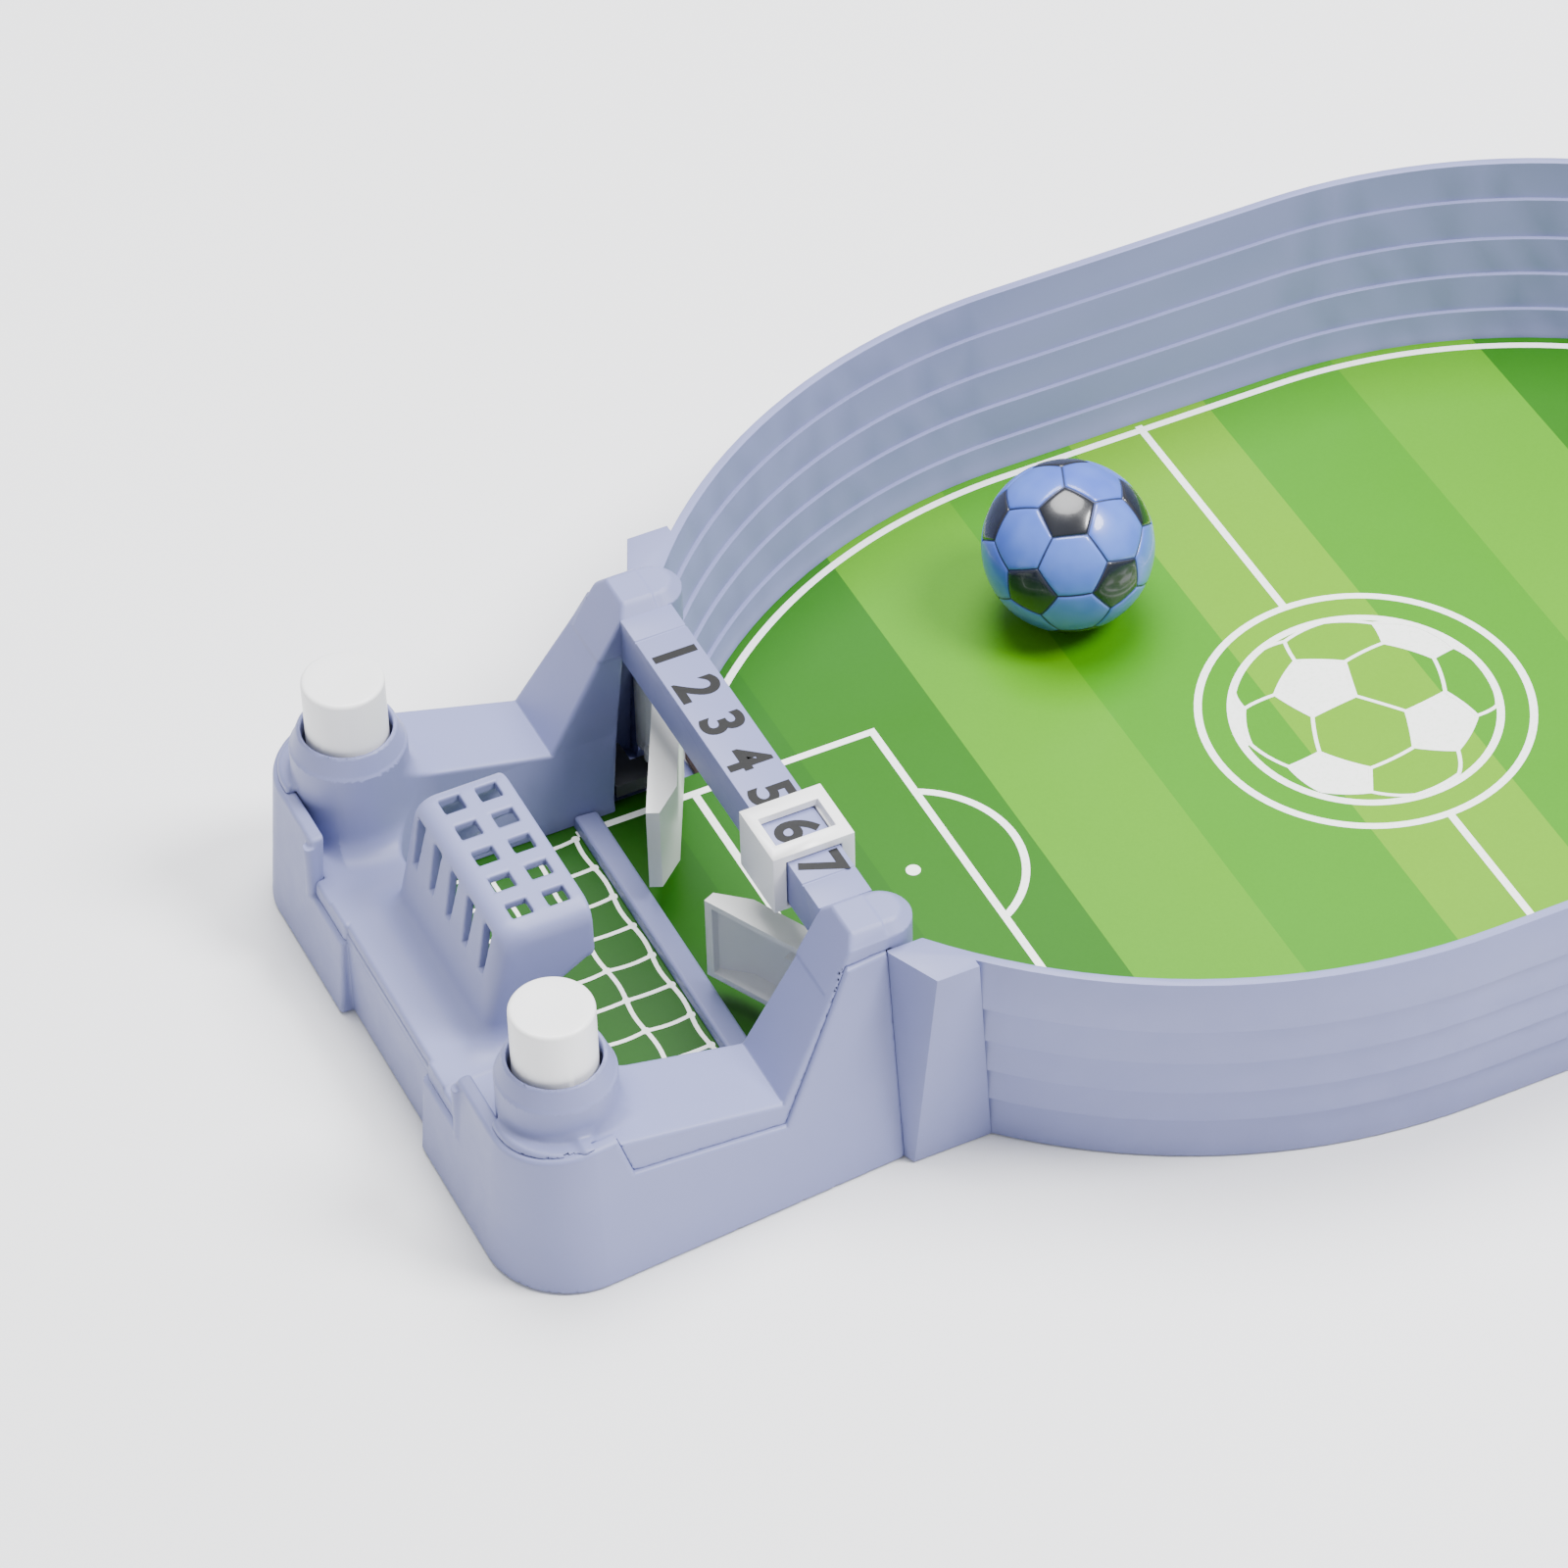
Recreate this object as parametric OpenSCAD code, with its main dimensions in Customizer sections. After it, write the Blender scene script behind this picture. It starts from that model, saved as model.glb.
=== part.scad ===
// Tabletop football: an oval pitch between two stand walls, with a goal module at each end.
// Pressing a button slides a link that swings a flipper; a sleeve on the rail keeps the score.

/* [Pitch and stand walls] */
// Length over both goal modules
total_length = 430; // [400:1:460]
// Half of the width over the foot of the stand walls
bowl_half_width = 100.1; // [90:0.1:110]
// Radius of the rounded ends of the bowl, at the foot
bowl_radius = 120.5; // [110:0.5:130]
// Half of the straight stretch of each stand wall
bowl_straight = 32.4; // [20:0.1:45]
// Height of the stand walls
wall_height = 50; // [40:0.5:60]
// How far each tier of a stand wall leans out over the one below
tier_step = 0.9; // [0.4:0.1:1.5]
// Height of the playing surface
pitch_z = 5.6; // [4:0.1:8]
// Thickness of the printed sheet
sheet_thickness = 0.6; // [0.3:0.1:1]
// Thickness of the pitch board
board_thickness = 3; // [2:0.1:4]
// Diameter of the ball
ball_diameter = 35.2; // [30:0.1:38]

/* [Goal modules] */
// Half of the width over the skirt at the button posts
skirt_half_width = 67.7; // [60:0.1:75]
// Half of the width over the skirt where it meets the stand walls
neck_half_width = 63.2; // [58:0.1:70]
// Radius of the rounded corners at the foot
corner_radius = 16.8; // [12:0.1:20]
// Height of the tower caps
tower_height = 55.1; // [50:0.1:60]
// Height of the top of the goal cage
cage_height = 49.6; // [46:0.1:54]
// Half of the width of the goal cage
cage_half_width = 21.7; // [18:0.1:25]
// Wall of the moulded shells
shell_wall = 2; // [1.5:0.1:3]

/* [Buttons and flippers] */
// Diameter of a button
button_diameter = 16.2; // [14:0.1:18]
// Height of the top of a button
button_top = 57.5; // [54:0.1:60]
// Travel of a button
button_travel = 8; // [5:0.5:9]
// Distance from pivot to tip of a flipper
flipper_length = 41.5; // [35:0.1:45]
// Height of the lower edge of a flipper
flipper_z = 12; // [11:0.1:14]
// Height of the blade of a flipper
flipper_height = 20; // [15:0.1:22]
// Turn of a flipper over the travel of its button
flipper_turn = 60; // [40:1:70]
// Radius of the crank that the link drives
crank_radius = 5; // [4:0.1:6]

/* [Score rails] */
// Score that the left sleeve shows
left_score = 6; // [1:1:7]
// Score that the right sleeve shows
right_score = 1; // [1:1:7]
// Distance between two numbers on a rail
score_pitch = 10.8; // [9:0.1:12]
// Height of the top of a rail
rail_top = 53; // [50:0.1:55]

/* [Hidden] */
$fn = 64;
SLAB = 0.1;       // thin slab that a hull stretches between
BIG = 300;        // longer than any cut needs
RUN = 0.05;       // radial running clearance of a pin
GAP = 0.3;        // clearance between moving parts
TALL = 60;        // higher than any part

// stations along the left module, from its back towards the pitch
end_x = -total_length / 2;
boss_x = end_x + corner_radius;
centre_wall_x = end_x + 2.8;
back_wall_x = end_x + 14;
neck_x = -134.6;
pivot_x = -133;
nose_x = -126.6;
foot_x = -158.5;
cap_x = -140.6;
mouth_x = -146.4;
window_top_x = -142;
skirt_drop_x = -193.1;
skirt_ledge_x = -190.3;
skirt_rise_x = -143.2;
foot_rim_end_x = -172;
rail_x = -136.8;

// heights
foot_rim_z = 0.5;
plate_top = pitch_z - sheet_thickness - board_thickness;
deck_z = 22;
mid_deck_z = deck_z + 0.8;
band_z = 23.6;
notch_z = 18.8;
ledge_z = 33;
skirt_top_z = 34.3;
skirt_ledge_z = 24.9;
skirt_foot_z = 19.9;
platform_back_z = 34.4;
platform_foot_z = 24.5;
lip_z = 52.8;
cap_skirt_z = 49.8;
cap_under_z = 44;
boss_shoulder_z = 41.7;
boss_top_z = 45.4;
flange_z = 29.5;

// places across a module
boss_y = 48.7;
pivot_y = 50.2;
corner_y = skirt_half_width - corner_radius;
channel_y = 41.2;
channel_top_y = 43.3;
cap_y = 44;
cap_radius = 6.2;
cap_flat = 3.8;
tongue_y = 56.3;
band_y = 27.1;
recess_y = 19.3;
notch_y = 34.6;
board_y = 44;

// amounts by which the skirt draws in up to the height of the lip
corner_draft = 4;
neck_draft = 6.4;
cover_inset = 0.9;
shell_inset = cover_inset + shell_wall;
plate_inset = shell_inset + 0.2;
foot_rim_inset = 0.6;

// mechanism
bore_radius = 8.9;
boss_radius = 11.5;
button_radius = button_diameter / 2;
button_wall = 1.6;
flange_radius = bore_radius + 0.8;
flange_height = 1.7;
leg_half_width = 2.6;
leg_thickness = 1.8;
spring_radius = 4.4;
wire_diameter = 1;
spring_peg_radius = 3;
spring_peg_z = 14;
bar_y = [50, 54];
yoke_y = [42.5, 48.4];
yoke_x = -139.8;
link_wall = 2;
cheek_wall = 1.4;
pin_top_z = 43;
pin_radius = 1.5;
hub_radius = 4.2;
crank_boss_radius = 2.2;
crank_boss_height = 2.2;
bush_radius = 4.2;
flipper_rest = 117;
blade_thickness = 5.7;
link_z = 8;
link_height = 3;
link_travel = 2 * crank_radius * sin(flipper_turn / 2);
crank_x = pivot_x - link_travel / 2;
crank_rest_y = pivot_y - crank_radius * cos(flipper_turn / 2);
web_z = 34;
cam_pin_z = 21.2;
cam_pin_radius = 1.4;
slot_y = boss_y + button_radius + GAP + 0.1;

// goal cage
cage_back_x = -196;
cage_front_x = -177.9;
cage_hole_x = [-190.3, -182.8];
cage_hole_pitch = 7.74;
cage_wall = 1.9;
cage_bend_x = -197.9;
cage_bend_z = 36.7;
cage_edge_z = 36.2;
cage_hole = [4.3, 4, 8];
cage_slot = [9, 2.2, 11.6];

// feet and screws
foot_places = [[-200, 40], [-148, 36]];
foot_radius = 5;
foot_seat_z = 1.2;
screw_places = [[-206, 33], [-165, 58.5], [-163, 47]];
screw_radius = 1.2;
screw_head_radius = 2.2;

// rails and sleeves
rail_width = 10.9;
rail_bottom = 42.4;
rail_wall = 1.6;
groove_y = 36.8;
first_score_y = 30.6;
sleeve_length = 14.8;
sleeve_wall = 2.7;
sleeve_lip = 0.9;
sleeve_top = 55;
sleeve_window = [6.2, 3.9];

// outer and inner steps of a stand wall: [height it starts at, offset from the foot line]
outer_tiers = [
    [foot_rim_z, 0],
    [11, tier_step],
    [19.5, 2 * tier_step],
    [28.3, 3 * tier_step],
    [37.6, 4 * tier_step]
];
inner_tiers = [
    [0, -6],
    [plate_top, -2 * tier_step],
    [13.3, -tier_step],
    [22.2, 0],
    [31.1, tier_step],
    [40.8, 2 * tier_step]
];
ball_x = -39.7;
ball_y = 53.2;
wall_end_x = 121.5;
wall_end_y = 56.7;

lilac = [0.68, 0.70, 0.81];
white = [0.95, 0.95, 0.95];
steel = [0.75, 0.76, 0.78];
turf = [0.45, 0.70, 0.20];
card = [0.55, 0.50, 0.42];
black = [0.1, 0.1, 0.1];
ball_blue = [0.50, 0.62, 0.88];

ENDS = ["left", "right"];
SIDES = ["near", "far"];

// ---------- poses ----------

// The right module is the left one turned half round.
module end_pose(end) {
    rotate([0, 0, end == "right" ? 180 : 0]) children();
}

// Shapes of one side are drawn at +Y of the left module, which is its far side.
module side_pose(end, side) {
    flipped = (side == "near") != (end == "right");
    end_pose(end) {
        if (flipped) mirror([0, 1, 0]) children();
        else children();
    }
}

module both_sides() {
    children();
    mirror([0, 1, 0]) children();
}

// A profile drawn in X and Z, stretched from y0 to y1.
module along_y(y0, y1) {
    translate([0, y1, 0]) rotate([90, 0, 0]) linear_extrude(y1 - y0) children();
}

// A profile drawn in Y and Z, stretched from x0 to x1.
module along_x(x0, x1) {
    translate([x0, 0, 0]) rotate([90, 0, 90]) linear_extrude(x1 - x0) children();
}

module box(x0, x1, y0, y1, z0, z1) {
    translate([x0, y0, z0]) cube([x1 - x0, y1 - y0, z1 - z0]);
}

module post(x, y, r, z0, z1) {
    translate([x, y, z0]) cylinder(r = r, h = z1 - z0);
}

// ---------- stand walls and pitch ----------

// Plan of the bowl on the +Y side, its foot line moved out by d.
module bowl_plan(d) {
    centre_y = bowl_half_width - bowl_radius;
    intersection() {
        union() {
            for (x = [-bowl_straight, bowl_straight])
                translate([x, centre_y]) circle(r = bowl_radius + d, $fn = 180);
            translate([-bowl_straight, 0])
                square([2 * bowl_straight, bowl_half_width + d]);
        }
        translate([-BIG / 2, 0]) square([BIG, BIG]);
    }
}

// Tapered end block that closes a stand wall behind a tower, with a slanting inner flank.
module pilaster() {
    difference() {
        intersection() {
            along_y(56.5, BIG) polygon([[neck_x, foot_rim_z], [-117.4, foot_rim_z],
                [-121.2, wall_height], [neck_x, wall_height]]);
            along_x(-BIG, 0) polygon([[56.5, foot_rim_z], [65.2, foot_rim_z],
                [68, wall_height], [56.5, wall_height]]);
        }
        translate([neck_x, 62.9, foot_rim_z]) rotate([0, -2.6, 155.8])
            translate([0, -50, -10]) cube([20, 100, 80]);
    }
}

module stand_wall() {
    top = wall_height + 1;
    difference() {
        union() {
            for (t = outer_tiers)
                translate([0, 0, t[0]]) linear_extrude(wall_height - t[0]) bowl_plan(t[1]);
            pilaster();
            mirror([1, 0, 0]) pilaster();
        }
        for (t = inner_tiers)
            translate([0, 0, t[0]]) linear_extrude(top - t[0]) bowl_plan(t[1]);
        box(-BIG, BIG, -1, board_y, -1, top);
        for (m = [0, 1]) mirror([m, 0, 0])
            box(-BIG, -wall_end_x, -1, wall_end_y, -1, top);
    }
}

module near_stand_wall() color(lilac) mirror([0, 1, 0]) stand_wall();

module far_stand_wall() color(lilac) stand_wall();

module pitch_plan() {
    intersection() {
        union() {
            bowl_plan(inner_tiers[1][1]);
            mirror([0, 1]) bowl_plan(inner_tiers[1][1]);
        }
        translate([nose_x + GAP, -BIG / 2]) square([-2 * (nose_x + GAP), BIG]);
    }
    translate([back_wall_x, -board_y]) square([-2 * back_wall_x, 2 * board_y]);
}

module pitch_board() color(card)
    translate([0, 0, plate_top]) linear_extrude(board_thickness) pitch_plan();

module pitch_sheet() color(turf)
    translate([0, 0, pitch_z - sheet_thickness]) linear_extrude(sheet_thickness) pitch_plan();

module ball() color(ball_blue)
    translate([ball_x, ball_y, pitch_z + ball_diameter / 2]) sphere(d = ball_diameter);

// ---------- goal module shells ----------

// Plan of the far half of a module with its corner radius and neck width reduced.
module half_plan(radius, neck_y) {
    polygon(concat(
        [[neck_x, 0], [neck_x, neck_y]],
        [for (a = [90:7.5:180]) [boss_x + radius * cos(a), corner_y + radius * sin(a)]],
        [[boss_x - radius, 0]]
    ));
}

// The far half of a module as a solid with drafted sides, all its faces moved in by d.
module half_body(d) {
    hull() {
        translate([0, 0, foot_rim_z]) linear_extrude(SLAB)
            half_plan(corner_radius - d, neck_half_width - d);
        translate([0, 0, lip_z]) linear_extrude(SLAB)
            half_plan(corner_radius - corner_draft - d, neck_half_width - neck_draft - d);
    }
}

// Side view of the skirt: high round the button post, low along the platform, up the tower.
module skirt_profile() {
    polygon([[end_x - 1, 0], [end_x - 1, skirt_top_z - 2.5], [boss_x, skirt_top_z],
        [skirt_drop_x, skirt_top_z], [skirt_ledge_x, skirt_ledge_z], [foot_x, skirt_foot_z],
        [skirt_rise_x, cap_skirt_z],
        [neck_x + 1, cap_skirt_z], [neck_x + 1, 0]]);
}

// Low places in the back of the skirt: the centre, the band beside it and the snap notch.
module back_cuts() {
    cut_x = boss_x - 5;
    box(end_x - 1, cut_x, -1, recess_y, mid_deck_z, TALL);
    box(end_x - 1, centre_wall_x, -1, recess_y, -1, TALL);
    box(end_x - 1, cut_x, recess_y - 1, band_y, band_z, TALL);
    box(end_x - 1, cut_x, band_y - 1, notch_y, notch_z, TALL);
}

module half_skirt() {
    difference() {
        intersection() {
            half_body(0);
            along_y(0, BIG) skirt_profile();
        }
        translate([0, 0, -1]) half_body(shell_inset);
        half_body(shell_inset);
        back_cuts();
    }
    box(centre_wall_x, centre_wall_x + shell_wall, 0, recess_y + shell_wall, foot_rim_z, mid_deck_z);
    // low foot rim under the corner
    intersection() {
        difference() {
            linear_extrude(foot_rim_z + SLAB)
                half_plan(corner_radius - foot_rim_inset, neck_half_width - foot_rim_inset);
            translate([0, 0, -1]) linear_extrude(5)
                half_plan(corner_radius - shell_inset, neck_half_width - shell_inset);
        }
        box(end_x, foot_rim_end_x, recess_y + 3, BIG, 0, 5);
    }
}

module base_shell(end) color(lilac) end_pose(end) both_sides() half_skirt();

// Side view of platform and tower, lowered by d inside.
module cover_profile(d) {
    slope = (tower_height - platform_foot_z) / (cap_x - foot_x);
    shift = d * (sqrt(1 + slope * slope) - 1) / slope;
    polygon([[boss_x - 1, 0], [boss_x - 1, platform_back_z - d], [foot_x + shift, platform_foot_z - d],
        [cap_x + shift, tower_height - d], [neck_x + 0.01, tower_height - d],
        [neck_x + 0.01, 0]]);
}

// Everything on the outer side of the channel wall, the wall moved outward by d.
module beside_channel(d) {
    along_x(-BIG, 0) polygon([[channel_y + d, pitch_z - 5], [channel_y + d, pitch_z],
        [channel_top_y + d, platform_foot_z], [cap_y + d, rail_bottom], [cap_y + d, BIG], [BIG, BIG],
        [BIG, pitch_z - 5]]);
}

// The bulk of one side of the cover, all its faces moved in by d.
module cover_bulk(d) {
    intersection() {
        half_body(cover_inset + d);
        union() {
            intersection() {
                along_y(0, BIG) cover_profile(d);
                beside_channel(d);
            }
            box(-BIG, boss_x + 1, boss_y, BIG, 0, ledge_z - d);
            box(-BIG, back_wall_x - d, band_y + (d > 0 ? d : 0), BIG, 0, deck_z - d);
        }
    }
}

module cap_round() {
    translate([pivot_x, pivot_y, 0]) rotate_extrude()
        polygon([[0, lip_z - 1.5], [cap_radius - 1.8, lip_z - 1.5], [cap_radius - 1.8, cap_under_z],
            [cap_radius, cap_under_z], [cap_radius, lip_z], [cap_flat, tower_height], [0, tower_height]]);
}

module cap_straight() {
    intersection() {
        along_x(cap_x - 5, pivot_x)
            polygon([[pivot_y - cap_radius, cap_under_z], [pivot_y + cap_radius, cap_under_z],
                [pivot_y + cap_radius, lip_z], [pivot_y + cap_flat, tower_height],
                [pivot_y - cap_flat, tower_height], [pivot_y - cap_radius, lip_z]]);
        along_y(0, BIG) polygon([[foot_x, 0], [foot_x, platform_foot_z],
            [cap_x, tower_height], [0, tower_height], [0, 0]]);
    }
}

module boss() {
    translate([boss_x, boss_y, 0]) rotate_extrude()
        polygon([[bore_radius, flange_z + 2], [boss_radius, flange_z + 2],
            [boss_radius, boss_shoulder_z - 0.5], [boss_radius - 0.4, boss_shoulder_z],
            [bore_radius + 0.5, boss_top_z], [bore_radius, boss_top_z]]);
    intersection() {
        post(boss_x, boss_y, boss_radius, pitch_z, flange_z + 2);
        box(-BIG, 0, 0, boss_y, 0, TALL);
    }
}

// Window in the tower for the flipper, and room for its sweep.
module flipper_window() {
    along_y(0, pivot_y + 1) polygon([[mouth_x, pitch_z - 1], [mouth_x, pitch_z + 3],
        [window_top_x, rail_bottom], [neck_x + 1, rail_bottom], [neck_x + 1, pitch_z - 1]]);
}

module housing(end, side) color(lilac) side_pose(end, side) {
    difference() {
        union() {
            difference() {
                cover_bulk(0);
                translate([0, 0, -0.01]) cover_bulk(shell_wall);
                flipper_window();
            }
            boss();
            cap_straight();
            cap_round();
            post(pivot_x, pivot_y, bush_radius, flipper_z + flipper_height + 2 * GAP, lip_z - 1);
        }
        // the cover stands on the skirt, and closes the notch above it
        difference() {
            along_y(0, BIG) skirt_profile();
            half_body(shell_inset);
            back_cuts();
        }
        // rest on the pitch sheet and the board
        box(-BIG, 0, 0, BIG, -1, pitch_z);
        post(boss_x, boss_y, bore_radius, 0, TALL);
        post(boss_x, boss_y, flange_radius + GAP, 0, flange_z + flange_height + GAP);
        post(pivot_x, pivot_y, pin_radius, 0, pin_top_z);
    }
}

module base_plate(end) color(lilac) end_pose(end) difference() {
    union() {
        both_sides() {
            translate([0, 0, foot_rim_z]) linear_extrude(plate_top - foot_rim_z)
                half_plan(corner_radius - plate_inset, neck_half_width - plate_inset);
            box(neck_x - 1, nose_x, 0, tongue_y, foot_rim_z, plate_top);
            post(pivot_x, pivot_y, bush_radius, plate_top - 0.5, link_z - 0.4);
            post(boss_x, boss_y, spring_peg_radius, plate_top - 0.5, spring_peg_z);
            // rail and cheeks that guide the link
            box(-187, -150, bar_y[0] + 0.6, bar_y[1] - 0.6, plate_top - 0.5, link_z - GAP);
            for (y = [bar_y[0] - GAP - cheek_wall, bar_y[1] + GAP])
                box(-182, -168, y, y + cheek_wall, plate_top - 0.5, link_z + 4);
        }
    }
    both_sides() {
        post(pivot_x, pivot_y, pin_radius, plate_top, 20);
        for (p = foot_places) post(p[0], p[1], foot_radius, 0, foot_seat_z);
        for (p = screw_places) {
            post(p[0], p[1], screw_radius, 0, 5);
            post(p[0], p[1], screw_head_radius, 0, foot_rim_z + 0.8);
        }
    }
    box(end_x, centre_wall_x + shell_wall, -recess_y - shell_wall, recess_y + shell_wall, 0, 5);
}

// ---------- goal cage, sill, rail and sleeve ----------

// Side view of the outside of the cage, from the front edge over the top to the deck.
module cage_profile(d) {
    front_x = cage_front_x + (d > 0 ? 1 : 0);
    polygon([[front_x, deck_z - 2], [front_x, cage_height - d], [cage_back_x + 2 + d / 2, cage_height - d],
        [cage_back_x - 1 + d, cage_height - 3.4 - d / 4], [cage_bend_x + d, cage_bend_z],
        [back_wall_x - 0.5 + d, deck_z - 2]]);
}

module goal_cage(end) color(lilac) end_pose(end) difference() {
    union() {
        difference() {
            along_y(-cage_half_width, cage_half_width) cage_profile(0);
            along_y(-cage_half_width + cage_wall, cage_half_width - cage_wall) cage_profile(cage_wall);
            // open front and the rising lower edge of the side walls
            along_y(-BIG / 2, BIG / 2) polygon([[-170, deck_z - 3], [-170, cage_edge_z],
                [cage_front_x, cage_edge_z], [-188, 31], [-196.5, mid_deck_z], [-196.5, deck_z - 3]]);
        }
        box(centre_wall_x + shell_wall, back_wall_x + cage_wall - 0.5, -band_y, band_y,
            mid_deck_z - shell_wall, mid_deck_z);
        both_sides() box(centre_wall_x + shell_wall, back_wall_x, recess_y, band_y, deck_z + 0.7, band_z);
        box(back_wall_x - cage_wall, back_wall_x, -band_y, band_y, pitch_z - sheet_thickness - 3, deck_z - 1);
    }
    for (i = [-2:2], x = cage_hole_x)
        translate([x, i * cage_hole_pitch, cage_height]) cube(cage_hole, center = true);
    for (i = [-2:2])
        translate([cage_back_x - 2, i * cage_hole_pitch, 42.5]) rotate([0, 7, 0])
            cube(cage_slot, center = true);
    // the board lies under the cage
    box(back_wall_x, 0, -BIG / 2, BIG / 2, 0, pitch_z);
}

module goal_sill(end) color(lilac) end_pose(end)
    along_y(-channel_y, channel_y)
        polygon([[-155.7, pitch_z], [-155.4, pitch_z + 2.4], [-154.8, pitch_z + 2.7],
            [-151, pitch_z + 2.3], [-150.4, pitch_z + 1.8], [-150.4, pitch_z]]);

module score_rail(end) color(lilac) end_pose(end) difference() {
    box(rail_x - rail_width / 2, rail_x + rail_width / 2, -cap_y, cap_y, rail_bottom, rail_top);
    box(rail_x - rail_width / 2 + rail_wall, rail_x + rail_width / 2 - rail_wall,
        -cap_y + 5, cap_y - 5, rail_bottom - 1, rail_top - rail_wall);
    both_sides() box(rail_x - rail_width, rail_x + rail_width, groove_y, groove_y + 0.5,
        rail_top - 0.3, rail_top + 1);
}

function score_y(score) = first_score_y - (score - 1) * score_pitch;

module score_sleeve(end, score) color(white) end_pose(end) translate([rail_x, score_y(score), 0]) {
    half = rail_width / 2 + GAP;
    reach = sleeve_length / 2;
    lip_bottom = rail_bottom - GAP - sleeve_lip;
    difference() {
        box(-half - sleeve_wall, half + sleeve_wall, -reach, reach, lip_bottom, sleeve_top);
        box(-half, half, -reach - 1, reach + 1, rail_bottom - GAP, rail_top + GAP);
        box(-half + 2, half - 2, -reach - 1, reach + 1, lip_bottom - 1, rail_bottom);
        box(-sleeve_window[0], sleeve_window[0], -sleeve_window[1], sleeve_window[1],
            rail_top, sleeve_top + 1);
    }
}

// ---------- mechanism ----------

module button(end, side) color(white) side_pose(end, side) translate([boss_x, boss_y, 0]) {
    difference() {
        union() {
            post(0, 0, button_radius, flange_z, button_top);
            // flange, with a flat beside the link
            intersection() {
                post(0, 0, flange_radius, flange_z, flange_z + flange_height);
                box(-BIG, BIG, -BIG, slot_y - GAP - boss_y, 0, button_top);
            }
        }
        post(0, 0, button_radius - button_wall, 0, web_z);
        post(0, 0, button_radius - button_wall, web_z + shell_wall, button_top - shell_wall);
    }
    // leg on the outer side, with the pin that rides in the slot of the link
    intersection() {
        difference() {
            post(0, 0, button_radius, cam_pin_z - 2, flange_z + 1);
            post(0, 0, button_radius - leg_thickness, 0, TALL);
        }
        box(-leg_half_width, leg_half_width, 5, 9, 0, TALL);
    }
    along = slot_y + link_wall + 0.2 - boss_y;
    translate([0, button_radius - 1, cam_pin_z]) rotate([-90, 0, 0])
        cylinder(r = cam_pin_radius, h = along - button_radius + 1);
}

// The coil is drawn as a plain sleeve of its outer and inner diameter.
module button_spring(end, side) color(steel) side_pose(end, side) difference() {
    post(boss_x, boss_y, spring_radius, plate_top, web_z);
    post(boss_x, boss_y, spring_radius - wire_diameter, 0, web_z + 1);
}

module push_link(end, side) color(white) side_pose(end, side) {
    top = link_z + link_height;
    slot_half = cam_pin_radius + 0.15;
    // upright plate with the slanting slot
    difference() {
        box(-206, -190, slot_y, slot_y + link_wall, link_z, cam_pin_z + 4);
        along_y(slot_y - 1, slot_y + link_wall + 1) hull() {
            translate([boss_x, cam_pin_z]) circle(r = slot_half, $fn = 32);
            translate([boss_x - link_travel, cam_pin_z - button_travel]) circle(r = slot_half, $fn = 32);
        }
    }
    // foot of the plate, and the bar from there to the yoke
    box(-206, -190, bar_y[1] + 0.2, slot_y + 1, link_z, top);
    box(-191, -188, bar_y[0], slot_y + link_wall, link_z, top);
    box(-189, yoke_x, bar_y[0], bar_y[1], link_z, top);
    box(yoke_x - 5.8, yoke_x, yoke_y[0], bar_y[0] + 1, link_z, top);
    // yoke for the crank pin
    difference() {
        box(yoke_x - 0.2, crank_x + 3.2, yoke_y[0], yoke_y[1], link_z, top);
        box(crank_x - pin_radius - 0.1, crank_x + pin_radius + 0.1,
            yoke_y[0] + 1, yoke_y[1] - 0.7, 0, link_z + 2 * link_height);
    }
}

module blade_plan() {
    // the root ends inside the hub, clear of the bore
    polygon([[2.5, 0], [flipper_length, 0], [flipper_length - 0.1, 2.6], [34, blade_thickness],
        [10, blade_thickness], [-0.5, hub_radius - 0.4]]);
}

module flipper(end, side) color(white) side_pose(end, side) translate([pivot_x, pivot_y, flipper_z]) {
    difference() {
        linear_extrude(flipper_height) {
            circle(r = hub_radius);
            rotate(-flipper_rest) blade_plan();
        }
        translate([0, 0, -1]) cylinder(r = pin_radius + RUN, h = flipper_height + 2);
        // hollow back with two ribs
        rotate([0, 0, -flipper_rest]) difference() {
            translate([0, 0, 1.4]) linear_extrude(flipper_height - 2.8)
                polygon([[8, -1], [flipper_length - 1.6, -1], [flipper_length - 1.8, 1.6],
                    [33.4, blade_thickness - 1.4], [11, blade_thickness - 1.4], [8, 2.6]]);
            for (z = [6.6, 12.6]) box(0, 24, 1.8, 9, z, z + 1);
        }
    }
    // crank pin that hangs from a boss on the blade into the yoke of the link
    translate([crank_x - pivot_x, crank_rest_y - pivot_y, 0]) {
        cylinder(r = crank_boss_radius, h = crank_boss_height);
        translate([0, 0, link_z - flipper_z])
            cylinder(r = pin_radius - 0.2, h = flipper_z - link_z + crank_boss_height / 2);
    }
}

module flipper_pins(end) color(steel) end_pose(end) both_sides()
    post(pivot_x, pivot_y, pin_radius, plate_top, 43);

// ---------- small parts ----------

module screws(end) color(steel) end_pose(end) both_sides() for (p = screw_places) {
    post(p[0], p[1], screw_radius, foot_rim_z + 0.4, plate_top);
    post(p[0], p[1], screw_head_radius, foot_rim_z + 0.1, foot_rim_z + 0.8);
}

module rubber_feet() color(black) for (end = ENDS) end_pose(end) both_sides()
    for (p = foot_places) post(p[0], p[1], foot_radius, 0, foot_seat_z);

// ---------- assembly ----------

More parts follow.
